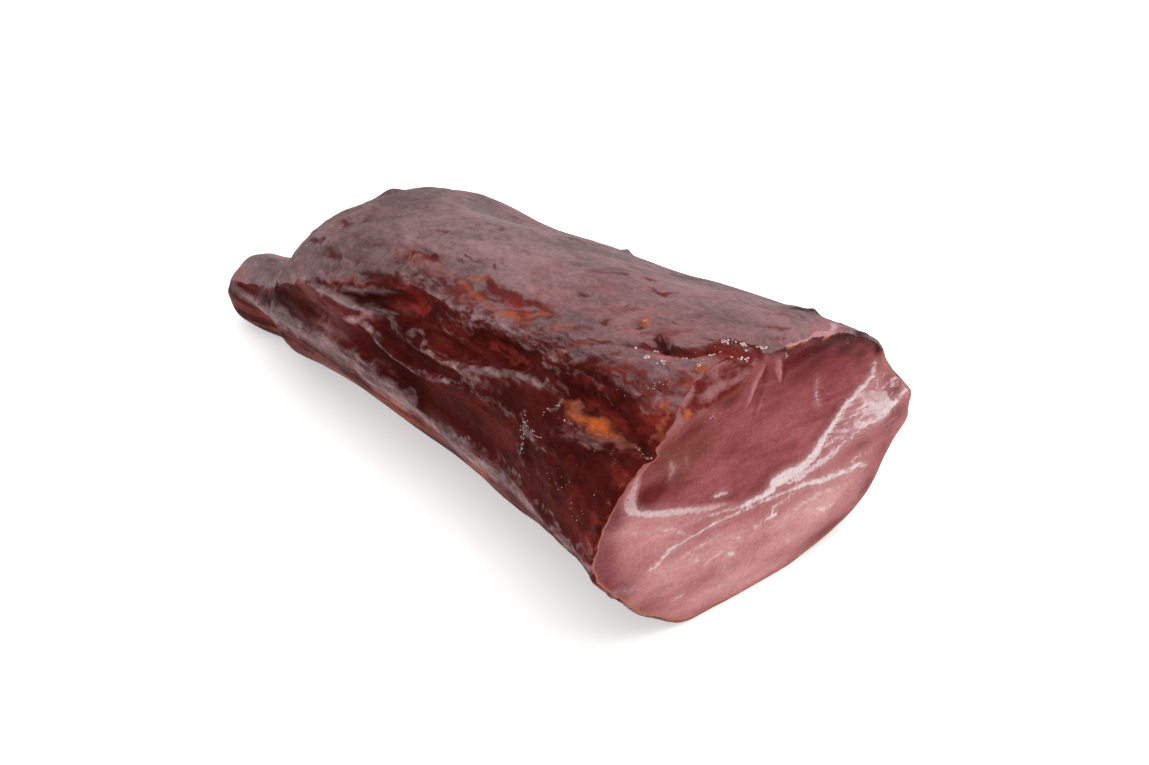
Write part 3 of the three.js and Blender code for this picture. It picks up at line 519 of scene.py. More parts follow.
# Dark red lean meat where the film is missing or thin.
STAINS = [
    [(-38, 136, 1.2, 0.6), (-36.5, 130, 1.5, 0.85), (-34, 126.6, 1.6, 0.9), (-29, 124.4, 1.5, 0.9),
     (-24, 124, 1.3, 0.85), (-19, 126.4, 1, 0.4)],
    [(-20, 131.6, 1.2, 0.5), (-16, 132, 2.4, 0.95), (-10, 133.6, 2.2, 0.8), (-3, 136, 1.8, 0.85),
     (3, 136.8, 1, 0.5)],
    [(0, 122.4, 1.4, 0.6), (5, 124.4, 2.6, 0.85), (11, 125.6, 3.4, 0.9), (18, 124.4, 2.8, 0.95),
     (24, 122.8, 2.2, 0.85), (33, 121, 1.6, 0.55), (40, 120.6, 1.4, 0.3)],
    [(1, 129.6, 0.8, 0.5), (7, 130.6, 1.2, 0.8), (12, 129.4, 1.4, 0.85)],
    [(25, 134.6, 0.8, 0.4), (30, 132.6, 1.2, 0.7), (38, 132.4, 1.1, 0.8), (46, 131.6, 1, 0.9),
     (52.6, 131, 1.2, 0.9)],
    [(20, 136, 0.7, 0.4), (25, 134.4, 1, 0.7), (29, 134.2, 0.8, 0.5)],
    [(-8, 140.6, 0.8, 0.5), (0, 140.8, 0.8, 0.5), (10, 139.8, 0.8, 0.5)],
    [(50, 127.6, 1.4, 0.6), (54, 126, 1.6, 0.8), (60, 122.8, 1.6, 0.85), (66, 120, 1.5, 0.85),
     (72, 117.6, 1.5, 0.8)],
    [(48.6, 118, 1, 0.7), (51, 115.6, 1.3, 1), (53.6, 112.6, 1, 0.8)],
    [(60, 122, 1, 0.6), (66, 120.4, 1.6, 0.8), (72, 118, 2, 1), (76, 116.4, 2.2, 1.1), (80, 116, 1.8, 1.1),
     (86.5, 112.6, 2.6, 1.2), (93.3, 107, 2.9, 1.2), (99, 100.2, 2.4, 1.2), (104, 94.8, 2, 1.1)],
    [(87, 105, 1, 0.5), (91, 102, 1.6, 0.9), (95, 98.8, 1.8, 0.9), (99, 95, 1.6, 0.9), (100, 90, 1, 0.6)],
    [(70, 112.2, 1, 0.6), (74, 112.6, 1.8, 1), (77.6, 114.6, 1.6, 1.1)],
    [(61.6, 112.6, 1, 0.7), (63.6, 110.8, 1.2, 1), (65.6, 108, 1, 0.7)],
    [(94, 119.4, 0.7, 0.5), (97.6, 119.4, 0.9, 0.95), (99.6, 118.4, 0.7, 0.7)],
    [(77, 124.4, 0.8, 0.7), (79, 127, 0.8, 0.5)],
    [(62, 133.4, 1.4, 0.7), (70, 132.4, 1.4, 0.8), (80, 132.4, 1.6, 0.8), (88, 135.2, 1.6, 0.7)],
    [(87, 127.4, 0.8, 0.6), (90, 129, 0.9, 0.6)],
    [(-76, 144, 2, 0.6), (-72, 146, 3, 1), (-66, 145.4, 2.2, 0.7), (-63, 150, 1.8, 0.5)],
    [(-58, 143, 1.6, 0.8), (-55.6, 144.4, 1.6, 0.8)],
    [(-49, 145.6, 2, 0.8), (-43, 144.4, 2.8, 1), (-37, 143, 2.2, 0.95), (-34.6, 142, 1.2, 0.5)],
    [(-36, 111.6, 2.4, 0.55), (-33, 109.6, 2.4, 0.6)],
    [(-44, 109, 2, 0.35), (-40, 110.6, 2, 0.35)],
    [(-56, 97, 1.8, 0.5), (-53, 101, 2, 0.6)],
    [(-15, 116.6, 1.2, 0.7), (-10, 116.4, 1.4, 0.8), (-6, 115.6, 0.8, 0.4)],
    [(-3, 113.6, 1.4, 0.8), (-0.5, 116, 1.4, 0.8)],
    [(-18, 120.4, 1, 0.6), (-14.6, 121, 1.2, 0.65)],
    [(-25, 101.4, 1, 0.5), (-23, 102, 1, 0.5)],
    [(12, 84, 1, 0.4), (16, 88, 1.2, 0.6), (19.6, 92, 0.8, 0.3)],
    [(20, 94, 0.8, 0.3), (22, 97, 0.8, 0.5)],
    [(50.6, 90, 1.6, 0.6), (53.4, 86, 2, 0.95), (56.2, 82, 1.6, 0.6)],
    [(73, 59, 1.6, 0.8), (76, 55, 1.6, 0.8)],
    [(70, 97, 1.4, 0.4), (74, 91, 1.4, 0.4)],
    [(34, 94, 2, 0.3), (38, 88, 2, 0.35)],
    [(85, 73, 1.4, 0.6), (89, 67, 1.4, 0.6)],
    [(88, 86, 1.2, 0.5), (92, 79.4, 1.4, 0.65), (97, 72, 1.2, 0.5)],
    [(96, 86, 1.2, 0.6), (99.4, 81, 1.2, 0.6)],
    [(47, 95, 1.2, 0.5), (51, 89, 1.2, 0.5)],
    [(66, 108, 1.2, 0.5), (70, 102, 1.2, 0.5)],
    [(75, 103, 1, 0.5), (79, 97, 1, 0.5)],
    [(38.6, 85, 1.4, 0.5), (41, 81.4, 1.8, 0.8), (43.6, 77.6, 1.2, 0.5)],
    [(49, 91, 0.8, 0.4), (48.8, 96, 0.9, 0.5)],
    [(51, 104, 0.6, 0.5), (52, 110, 0.7, 0.6)],
    [(64, 91.6, 0.9, 0.4), (66, 93.6, 1, 0.5)],
    [(-83, 124, 2.6, 0.8), (-79, 127.6, 3, 0.9)],
    [(-86, 112, 3, 0.4), (-82, 114, 3, 0.4)],
    [(-89, 138, 2.4, 0.8), (-83, 141, 2.6, 0.9)],
    [(-98, 130, 3, 0.5), (-94, 134, 3, 0.5)],
    [(-58, 122.6, 1.6, 0.3), (-55, 123.6, 1.6, 0.3)],
    [(-31, 136.6, 0.8, 0.5), (-24, 136, 0.9, 0.6), (-20, 136.4, 0.7, 0.4)],
    [(-48, 184.6, 1.8, 0.6), (-44, 187.6, 2.4, 0.8), (-41, 190, 1.6, 0.6)],
    [(-18, 184, 0.8, 0.4), (-12, 183.4, 0.9, 0.6), (-8, 183, 0.7, 0.4)],
    [(30, 183.6, 0.8, 0.5), (34, 182.4, 1, 0.7), (40, 182.2, 0.9, 0.7), (44, 182, 0.7, 0.6)],
    [(75, 184, 0.5, 0.7), (79, 182.9, 0.6, 1), (84, 181.4, 0.6, 1)],
    [(58, 177, 1, 0.5), (60, 179, 1, 0.5)],
    [(-76, 200, 3, 0.7), (-70, 195.6, 3.2, 0.9), (-66, 192, 2, 0.6)],
    [(-57, 197, 1.6, 0.6), (-54, 192, 1.4, 0.6)],
    [(-94, 195, 3, 0.4), (-86, 192.4, 2.2, 0.5)],
    [(-150, 182, 7, 0.9), (-140, 193, 10, 1), (-126, 195, 11, 1), (-112, 194, 9, 0.95), (-100, 193, 5, 0.8)],
    [(-132, 104, 4, 0.5), (-128, 92, 5, 0.6)],
    [(-142, 132, 4, 0.45), (-138, 126, 4, 0.45)],
    [(-126, 112, 6, 0.55), (-118, 124, 7, 0.6), (-112, 138, 5, 0.6)],
    [(-112, 96, 4, 0.5), (-106, 116, 5, 0.6), (-104, 134, 5, 0.5)],
    [(-40, 146, 2, 0.6), (-30, 143, 2.6, 0.7), (-20, 142.6, 2.6, 0.9)],
    [(-46, 136, 1.6, 0.4), (-36, 134.6, 2, 0.7), (-26, 131.4, 1.6, 0.5)],
    [(-30, 127, 2, 0.7), (-24, 125.4, 2, 0.8)],
    [(-12, 129, 2, 0.6), (-2, 127.4, 2.6, 0.7)],
    [(-8, 134, 1.8, 0.7), (2, 135.6, 1.6, 0.8), (10, 134.6, 1.2, 0.5)],
    [(24, 128, 2.4, 0.6), (34, 126.6, 2, 0.6), (50, 130, 2, 0.8), (56, 127.4, 2, 0.7)],
    [(34, 134.8, 0.8, 0.6), (44, 134, 0.8, 0.7), (52, 135, 0.8, 0.6)],
    [(70, 122.4, 1.2, 0.6), (80, 117, 1.8, 0.65), (86, 113, 2.6, 0.75), (94, 108, 3.6, 0.85),
     (100, 104, 4, 0.85)],
    [(84, 121.6, 1.6, 0.6), (92, 122.6, 2.4, 0.8), (98, 124, 3, 0.85)],
    [(60, 128, 2, 0.55), (70, 128.6, 1.6, 0.6), (82, 129, 2, 0.65), (92, 126, 2, 0.6)],
    [(-44, 132, 3, 0.5), (-34, 134, 3, 0.55)],
    [(-78, 132, 2.4, 0.4), (-66, 134, 3, 0.55), (-54, 133, 2.4, 0.5), (-44, 128, 2.4, 0.4)],
    [(-62, 144, 2, 0.5), (-54, 141, 2.4, 0.55), (-46, 140, 2, 0.5)],
    [(-76, 152, 2, 0.5), (-66, 154, 2, 0.5)],
    [(-60, 119, 2.4, 0.35), (-50, 116, 2.6, 0.4)],
    [(-94, 150, 4, 0.4), (-86, 156, 4, 0.5), (-80, 160, 2, 0.4)],
]

# Red light through wet meat.
GLOWS = [
    [(-40, 154, 1.4, 0.4), (-34, 152.4, 2, 0.7), (-28, 150.6, 3, 0.85), (-22, 148.2, 3.4, 1),
     (-17, 146.6, 3, 1.1), (-13, 146, 1.6, 0.7)],
    [(13, 143.4, 1.2, 0.5), (19, 143.2, 2, 0.9), (27, 144, 2, 1), (34, 144.8, 1.8, 0.95), (40, 146, 1, 0.5)],
    [(-9, 156, 2, 0.35), (0, 155.4, 3, 0.4), (10, 154, 2, 0.35)],
    [(1, 171, 4, 0.16), (14, 168, 4, 0.2), (28, 168, 5, 0.14)],
    [(62, 153.6, 1, 0.5), (68, 152.6, 1.6, 0.6), (76, 153, 1, 0.4)],
    [(60, 144.6, 1, 0.6), (70, 146, 1.4, 0.7), (80, 147, 1.4, 0.7), (90, 148.6, 1.2, 0.6),
     (99, 149.6, 1.2, 0.5)],
    [(92, 154, 5, 0.3), (95, 162, 6, 0.4), (97, 172, 5, 0.45), (97, 178, 4, 0.4)],
    [(93, 146, 5, 0.4), (96, 141, 5, 0.5), (97, 134, 5, 0.6), (97, 126, 4, 0.5), (98, 119, 3, 0.4)],
    [(66, 121, 0.8, 0.3), (78, 117, 1.4, 0.4), (86, 113.4, 2, 0.6), (93, 108, 2.3, 0.75),
     (100, 100.6, 2, 0.65)],
    [(-8, 126, 1.6, 0.5), (6, 127.6, 2, 0.5), (20, 127, 2, 0.6), (34, 130, 2, 0.5), (46, 128, 2, 0.6),
     (54, 129, 1.6, 0.7)],
    [(-46, 147.6, 2, 0.5), (-40, 146.4, 2, 0.5)],
    [(88, 114, 3, 0.6), (94, 112, 4, 0.7), (99, 109, 4, 0.7)],
    [(86, 121, 3, 0.4), (98, 117, 4, 0.55)],
    [(-78, 176, 2, 0.3), (-68, 178, 3, 0.35), (-74, 182, 2, 0.4)],
    [(-30, 165, 8, 0.2), (10, 168, 10, 0.22), (50, 168, 12, 0.25), (80, 164, 12, 0.3)],
    [(56, 140, 4, 0.3), (74, 138, 5, 0.35), (92, 138, 6, 0.4)],
    [(60, 126, 3, 0.2), (74, 128, 4, 0.35), (90, 128, 5, 0.5)],
]

# Fat and skin browned to orange.
BROWNED = [
    [(-8, 128, 1.6, 0.5), (-4, 125.6, 2.2, 0.75), (0, 123, 1.8, 0.6)],
    [(-10, 130.4, 1, 0.4), (-3, 130, 1.4, 0.6), (5, 131.8, 1.4, 0.6), (12, 132.6, 1.7, 0.65),
     (20, 132, 1.8, 0.65), (27, 130, 1.4, 0.45)],
    [(26, 127, 1.6, 0.5), (30, 125, 1.8, 0.65), (31, 122.4, 1, 0.4)],
    [(36, 129, 1.2, 0.5), (38.6, 126.4, 1.8, 0.6), (42, 124.6, 2, 0.7), (45.4, 124.6, 1, 0.5)],
    [(-31, 128.4, 1.2, 0.5), (-24, 128.6, 1.6, 0.6)],
    [(-58, 152.4, 1.4, 0.5), (-52, 150.8, 2, 0.75), (-45, 149.8, 1, 0.5)],
    [(-66, 156, 1.4, 0.4), (-59, 155, 1.6, 0.55)],
    [(-44, 133, 3.4, 0.35), (-34, 130, 3.6, 0.5), (-24, 130, 3.4, 0.45), (-14, 128, 3, 0.45)],
    [(-39, 162.4, 0.9, 0.4), (-34, 159.6, 1.2, 0.4)],
    [(46, 108.4, 1.2, 0.4), (50, 107.6, 1.4, 0.55)],
    [(62, 108.8, 2.2, 1.2), (64, 108.4, 2.2, 1.2)],
    [(97.8, 116.8, 1.8, 1.1), (99.6, 116.4, 1.8, 1.1)],
    [(91, 109.2, 0.9, 0.7), (92, 109.4, 0.9, 0.7)],
    [(88, 111, 2, 0.3), (95, 112, 3, 0.4), (99, 115, 2, 0.4)],
    [(60, 148.4, 1, 0.45), (65, 149.2, 2.1, 0.75), (71, 150.4, 2.6, 0.95), (76, 150.7, 2.4, 1.3),
     (80, 150.8, 2.3, 1.1), (84, 150.6, 2, 0.85), (88, 150.8, 1.6, 0.8), (94, 151, 1, 0.7)],
    [(44, 131, 0.6, 0.5), (50, 130.8, 0.8, 0.8), (54, 129.8, 0.9, 0.7), (55, 127, 0.8, 0.5)],
    [(66, 131.6, 0.6, 0.5), (74, 131.2, 0.7, 0.55), (84, 131.6, 0.6, 0.4)],
    [(94, 135.4, 0.6, 0.7), (98.6, 133.6, 1.2, 0.8), (99.4, 130.6, 1.3, 0.8)],
    [(99.2, 146, 1, 0.6), (98.8, 141, 1.2, 0.5), (99.4, 137, 1.2, 0.6)],
    [(99.4, 126, 1, 0.6), (99.6, 118, 1, 0.6), (99.6, 110, 1, 0.5)],
    [(24, 146.4, 1.4, 0.3), (34, 145.6, 1.4, 0.4)],
    [(99.6, 158, 0.9, 0.4), (99.8, 170, 0.8, 0.4)],
    [(99, 185, 1.2, 0.5), (100, 192, 1.4, 0.45), (100, 215, 1.6, 0.5), (100, 270, 2, 0.7),
     (100, 320, 2, 0.7)],
    [(12, 197, 3, 0.6), (20, 196, 3.4, 0.85), (27, 193.4, 2.6, 0.85), (33, 191.4, 1.2, 0.5)],
    [(-34, 191, 2, 0.4), (-26, 192.4, 2.6, 0.6), (-16, 195, 2.6, 0.6)],
    [(-56, 200, 2.4, 0.5), (-48, 202, 3, 0.5)],
    [(-96, 203, 4, 0.4), (-110, 213, 4, 0.5), (-126, 220, 4, 0.55), (-142, 226, 5, 0.5)],
    [(-90, 196, 3, 0.4), (-76, 206, 5, 0.45), (-56, 206, 6, 0.5), (-30, 200, 6, 0.5), (0, 202, 6, 0.45)],
    [(36, 198, 6, 0.35), (70, 196, 6, 0.4), (98, 194, 5, 0.4)],
]

# Pink places. Where the strength passes 1, along the peeled film at the upper right, a painted highlight is
# laid on as well.
PINKS = [
    [(94, 48, 2.4, 0.6), (98, 47, 2, 1.2), (98, 51, 2.6, 1.5), (98, 56, 3.2, 1.6), (98.6, 62, 3, 0.8),
     (99, 70, 2.6, 0.35), (99, 84, 3, 0.4)],
    [(64, 148.6, 1.4, 0.4), (69, 149.4, 2.2, 0.8)],
    [(80, 152, 2, 0.7), (84, 151, 2, 0.9), (91, 151, 1.4, 0.8)],
    [(-150, 112, 8, 0.8), (-143, 126, 9, 1), (-140, 142, 8, 0.9), (-143, 154, 6, 0.6)],
    [(-114, 128, 5, 0.5), (-106, 134, 5, 0.5)],
    [(-92, 153, 2.6, 0.3), (-84, 156.4, 2.4, 0.5), (-78, 159, 1.6, 0.4)],
    [(-47, 166, 1.4, 0.5), (-42, 163, 1.6, 0.7), (-38, 160, 1.8, 0.5), (-30, 158.6, 1.6, 0.5)],
    [(-30, 132.6, 2, 0.5), (-22, 128.6, 2.4, 0.7), (-12, 126, 2.2, 0.6)],
    [(-2, 134.6, 1.8, 0.6), (8, 136, 2, 0.6), (18, 135.4, 1.8, 0.4)],
    [(20, 117, 5, 0.4), (50, 113, 6, 0.45), (66, 115, 3, 0.5)],
    [(66, 122.6, 2, 0.5), (78, 119.6, 2, 0.6), (90, 121.4, 2.4, 0.5), (99, 119, 2, 0.5)],
    [(70, 127.6, 1.6, 0.5), (82, 125.6, 1.8, 0.6), (94, 128, 2, 0.6)],
    [(92, 112, 3, 0.25), (97, 118, 4, 0.3), (99, 128, 3, 0.4), (99, 134, 2, 0.4)],
    [(28, 163, 2.4, 0.4), (38, 160.4, 1.6, 0.5), (34, 157.4, 2, 0.4)],
    [(62, 158, 1.4, 0.3), (74, 156, 2, 0.4), (86, 155, 1.6, 0.4)],
    [(-64, 172, 1, 0.5), (-66, 176, 1, 0.5)],
    [(-20, 191, 3, 0.4), (0, 195, 4, 0.5), (30, 197, 4, 0.4), (46, 189, 3, 0.5), (60, 190, 3, 0.4)],
    [(-94, 190, 3, 0.4), (-84, 190, 2, 0.3)],
]

# Where tiny painted glints lie.
GLINTS = [
    [(85, 107, 0.8, 0.6), (89, 103.6, 1.2, 1), (93, 100.8, 1.3, 1), (97, 97, 1.3, 1), (101, 93.4, 1, 0.8)],
    [(76, 118, 1, 0.5), (82, 114.6, 0.9, 0.6), (87, 111.4, 1.4, 0.9), (93, 106.8, 1.6, 1),
     (97, 103.4, 1.4, 1), (101, 100, 1, 0.8)],
    [(46, 156, 1.6, 0.6), (49, 159, 2, 0.9), (52, 163, 2, 1), (52.6, 168, 1.8, 0.9), (50, 171, 2, 0.8),
     (55, 174, 1.4, 0.6)],
    [(54, 163.6, 1, 0.7), (62, 163.4, 0.8, 0.5)],
    [(91, 150.6, 0.9, 0.7), (95, 150.6, 1.2, 1), (100, 151, 1.2, 0.9)],
    [(82, 131, 2.4, 0.7), (87, 131, 2, 0.6)],
    [(77, 122, 3, 0.55), (83, 122, 3, 0.5)],
    [(94, 117, 2.4, 0.5), (98, 114, 2.4, 0.5)],
    [(62, 152, 6, 0.45), (76, 152, 5, 0.5), (90, 154, 4, 0.45)],
    [(70, 168, 9, 0.4), (92, 168, 9, 0.4)],
]

# Scorched crust at the rim and on a flake at the upper right, and painted shade along the folds and under the
# lip of the crevice.
SCORCHED_AND_SHADED = [
    [(101, 30, 2, 0.35), (101, 38, 2.2, 0.6), (99.4, 42, 1.8, 0.9), (97.6, 41, 1, 0.5)],
    [(86, 60, 1.4, 1), (91, 54.6, 1.8, 1.1)],
    [(71, 112.6, 1.2, 0.7), (75, 113.4, 2, 1.1), (78, 115.4, 1.6, 0.9), (86, 112.4, 1.6, 0.3)],
    [(87, 104.6, 1, 0.4), (91, 101.8, 1.5, 0.7), (95, 98.8, 1.7, 0.8), (99, 95, 1.5, 0.7),
     (100, 90, 1, 0.4)],
    [(-136, 153, 3, 0.3), (-124, 154, 4, 0.6), (-110, 156, 4, 0.8), (-100, 166, 6, 0.9), (-92, 172, 6, 0.95),
     (-84, 175, 6, 0.8), (-66, 172, 4, 0.4), (-46, 173, 3.4, 0.45), (-28, 174, 3, 0.55), (-8, 176, 3, 0.5),
     (8, 176, 5, 0.4), (34, 172, 5, 0.35)],
    [(-30, 163.4, 1.4, 0.5), (-14, 166, 2.6, 0.6), (0, 163.6, 2, 0.6), (12, 161.6, 1.2, 0.5)],
    [(-53, 157.6, 1.2, 0.7), (-42, 154.6, 1.6, 0.7), (-34, 151.4, 1.6, 0.5)],
    [(-9.4, 152, 1.2, 0.6), (-6, 155, 1.6, 0.5)],
    [(9, 147, 1.2, 0.6), (12, 144, 1.4, 0.6), (17, 141, 1.2, 0.5)],
    [(48, 162, 1.4, 0.5), (50, 168, 2, 0.5), (55, 171, 1.6, 0.4)],
    [(14, 157, 1.6, 0.5), (20, 157, 1, 0.3)],
]

STROKES = {"veil": VEILS, "stain": STAINS, "glow": GLOWS,
           "ochre": BROWNED, "pink": PINKS, "glint": GLINTS, "burnt": SCORCHED_AND_SHADED}

# White fat of the cut: paths of (y, z, half width, whiteness).
SEAMS = [
    [(-50.5, 57, 0.4, 0.2), (-50.6, 53.4, 0.8, 0.4), (-48.5, 50.7, 1, 0.56), (-45, 48.5, 0.9, 0.56),
     (-41, 46.5, 0.8, 0.54), (-36, 44.5, 1, 0.54), (-30, 42.4, 0.9, 0.5), (-26, 41, 0.9, 0.45),
     (-22, 39.4, 0.8, 0.42), (-18, 38.2, 0.8, 0.38), (-14, 37.4, 0.6, 0.3), (-11, 36.8, 0.4, 0.2)],
    [(-46, 63, 0.4, 0.15), (-47.5, 60, 0.9, 0.26), (-48.4, 57, 1.2, 0.3), (-48.6, 54, 1.3, 0.38),
     (-48, 51.5, 1.2, 0.46)],
    [(-15.4, 40.6, 0.4, 0.5), (-13, 40.6, 0.8, 0.65), (-10.4, 39.6, 0.6, 0.45)],
    [(-26, 36.8, 0.12, 0.3), (-15, 35.2, 0.22, 0.4), (-8, 33.9, 0.4, 0.7), (-3, 33.1, 0.7, 0.9),
     (3, 32.7, 0.9, 0.95), (8, 33.2, 1.2, 1)],
    [(8.9, 35.7, 2, 1), (13, 35.5, 2.2, 1), (18, 35.3, 1.9, 0.95), (22, 35.7, 1.2, 0.9), (25, 37, 1.6, 0.95),
     (27.5, 39, 1.7, 1), (29, 41, 1.3, 1), (31, 43, 1.1, 1), (34, 45.2, 1, 1), (36, 46.8, 1.1, 1),
     (38, 48.6, 1, 0.95), (41, 50.5, 1.1, 0.95), (44, 52.2, 0.9, 0.95), (47, 53.8, 0.8, 0.95),
     (50, 55.6, 0.8, 0.95), (51, 58, 0.6, 0.9), (51.2, 61, 0.4, 0.6)],
    [(15, 32.4, 0.5, 0.8), (23, 33.2, 0.7, 0.75), (27, 34, 0.7, 0.75), (31, 34.8, 0.6, 0.8),
     (36, 35.4, 0.5, 0.7), (41, 36.6, 0.6, 0.75), (46, 38.6, 0.8, 0.85), (51, 39, 0.9, 0.9),
     (56, 38.8, 0.8, 0.9), (61, 40.6, 0.9, 0.95), (64, 42.2, 0.8, 0.9), (66.5, 44, 0.9, 0.9),
     (68.5, 43.6, 0.4, 0.7)],
    [(-41.5, 28, 0.2, 0.7), (-39, 28.3, 0.5, 0.9), (-37, 29.5, 0.4, 0.9), (-34, 31.3, 0.35, 0.85),
     (-30, 31.6, 0.3, 0.8), (-24, 31.8, 0.4, 0.85), (-18, 32.3, 0.32, 0.8), (-12, 32.2, 0.3, 0.8),
     (-6, 31.6, 0.3, 0.7), (0, 31, 0.3, 0.7), (6, 30.8, 0.45, 0.8), (12, 30.2, 0.45, 0.85),
     (18, 29.4, 0.55, 0.9), (24, 28.6, 0.65, 0.9), (30, 27, 0.85, 0.85), (36, 26.2, 1, 0.85),
     (42, 25.2, 0.8, 0.85), (46, 25.4, 0.7, 0.9), (48, 24.8, 0.9, 1), (50.5, 23.6, 0.4, 0.7)],
    [(-31, 36, 0.12, 0.4), (-28, 34, 0.2, 0.5), (-24.5, 32, 0.25, 0.6)],
    [(18, 31.4, 0.3, 0.6), (25, 32.6, 0.4, 0.7), (31, 33.4, 0.4, 0.7), (36, 34, 0.3, 0.6)],
    [(40, 40, 0.3, 0.6), (45, 40.2, 0.4, 0.7), (50, 40.4, 0.5, 0.8)],
    [(35, 41, 0.25, 0.5), (39, 41.8, 0.4, 0.6), (43, 42, 0.3, 0.5)],
    [(44, 45.6, 0.5, 0.5), (48, 47, 1.2, 0.7), (50.5, 49.6, 0.9, 0.6)],
    [(47, 50, 1.2, 0.3), (52, 47.4, 2.2, 0.4), (57, 45.6, 2, 0.5)],
    [(26, 37.6, 0.4, 0.6), (33, 38.8, 0.5, 0.6), (40, 40.6, 0.6, 0.7), (46, 41.6, 0.5, 0.7)],
    [(30, 40.4, 0.3, 0.5), (37, 43, 0.4, 0.6), (44, 45.6, 0.5, 0.6), (50, 47.6, 0.8, 0.6)],
    [(36, 45, 0.3, 0.5), (42, 48.2, 0.4, 0.5), (47, 51, 0.5, 0.6)],
    [(52, 56, 0.3, 0.6), (53.4, 50, 0.5, 0.6)],
    [(-50, 44, 0.2, 0.25), (-40, 40.4, 0.3, 0.3), (-32, 37.4, 0.3, 0.3)],
    [(-36, 25, 0.2, 0.3), (-26, 26.6, 0.3, 0.35), (-14, 27.4, 0.3, 0.35)],
    [(-20, 19.4, 0.3, 0.3), (-12, 21, 0.4, 0.35)],
    [(18, 22, 0.6, 0.25), (28, 22.6, 0.8, 0.3), (38, 21, 0.6, 0.3)],
    [(44, 42.6, 0.6, 0.5), (50, 43, 0.9, 0.6), (55, 41.4, 1.2, 0.7), (60, 41, 1.6, 0.8)],
    [(47, 43, 0.8, 0.6), (52, 44.6, 1.6, 0.8), (56, 43.2, 1.8, 0.85), (60, 42, 1.4, 0.9)],
    [(6.2, 24, 0.6, 0.95), (9.4, 24, 0.6, 0.95)],
    [(8, 24.8, 0.6, 0.9), (8.2, 27, 0.3, 0.7), (12, 27.4, 0.4, 0.75), (17, 28, 0.3, 0.6)],
    [(0, 23.4, 0.3, 0.5), (5, 23.5, 0.4, 0.6)],
    [(-24, 22.9, 0.3, 0.6), (-22, 22.5, 0.5, 0.8)],
    [(-7, 22.7, 0.25, 0.6), (-5.4, 22.9, 0.5, 0.9)],
    [(-10.2, 19.2, 0.4, 0.8), (-8.4, 18.1, 0.5, 0.9)],
    [(-12, 14.4, 0.4, 0.7), (-10.8, 15.6, 0.35, 0.6)],
    [(-31.8, 12.4, 0.3, 0.6), (-28.6, 12.6, 0.55, 0.8)],
    [(28, 17.8, 0.3, 0.7), (30.4, 16.2, 0.6, 0.9), (32, 15, 0.4, 0.8)],
    [(33, 16.2, 0.3, 0.7), (34.8, 15.6, 0.4, 0.8)],
    [(23.5, 19.4, 0.2, 0.5), (27, 17.8, 0.4, 0.6)],
    [(15.4, 14, 0.1, 0.4), (16.2, 10.6, 0.15, 0.5)],
    [(-55, 26, 0.12, 0.6), (-52, 25.4, 0.16, 0.6), (-46, 23.4, 0.12, 0.5)],
    [(-34, 61, 0.5, 0.16), (-32.6, 58, 0.7, 0.22), (-34.4, 54.6, 0.4, 0.14)],
    [(-28, 60.4, 0.4, 0.14), (-27.4, 56.6, 0.5, 0.16)],
    [(26, 65, 0.2, 0.5), (26.4, 61, 0.3, 0.7), (26, 58.6, 0.3, 0.7), (26.8, 55, 0.35, 0.7),
     (28, 53.4, 0.2, 0.5)],
    [(43, 27.8, 0.25, 0.6), (47, 28.8, 0.3, 0.6), (52, 27.6, 0.2, 0.5)],
]

# Outline of the dark upper muscle, which lies on the pale lower one: corners (y, z).
UPPER_MUSCLE = [(62, 100), (53, 70), (51.4, 62), (50.6, 57.6), (47, 54.6), (44, 53), (40, 50.8), (35, 47.4),
                (30, 43.6), (27.6, 41), (24, 38.2), (20, 37.4), (13, 37.9), (7.2, 37.8), (6.8, 34.4),
                (2, 33.6), (-6, 34.4), (-12, 37.4), (-20, 40.2), (-26, 42), (-30, 43.2), (-36, 45.4),
                (-41, 47.4), (-46.4, 51), (-46.2, 56), (-45.5, 61), (-40, 66), (-34, 73), (-20, 100)]

# Outline of the marbled corner: corners (y, z).
MARBLED_CORNER = [(80, 29), (60, 31.5), (48, 35.5), (38, 34.5), (28, 33), (18, 32.4), (24, 36.5), (28, 41),
                  (36, 46.5), (46, 53.5), (51.5, 58), (54, 62), (80, 62)]

# Outlines whose depth colours the cut, and how far depths are carried on both sides of them.
OUTLINES = {"rolled": ROLLED_CRUST, "peeled": PEELED_FILM, "upper": UPPER_MUSCLE, "marble": MARBLED_CORNER}
OUTLINE_REACH = 6
RIM_REACH = 8                          # how far in from the rim the distance to it is carried

# Pale ridges of the upper muscle: paths of (y, z, half width, height).
CUT_RIDGES = [
    [(-9, 65, 1.2, 0.2), (-5, 66.6, 1.2, 0.5), (-3, 70, 1.3, 0.9), (-1.2, 74.5, 1.3, 1.1),
     (0.4, 79, 1.2, 1.1), (1.2, 82, 1.1, 0.9)],
    [(5.6, 81, 0.9, 0.9), (7, 77.5, 1.1, 1.3), (8, 73, 1.1, 1.2), (9.4, 70, 0.8, 0.6)],
    [(0, 61, 0.7, 0.25), (1, 65, 0.9, 0.7), (2.4, 69, 0.8, 0.5), (4.4, 67, 0.7, 0.3)],
]

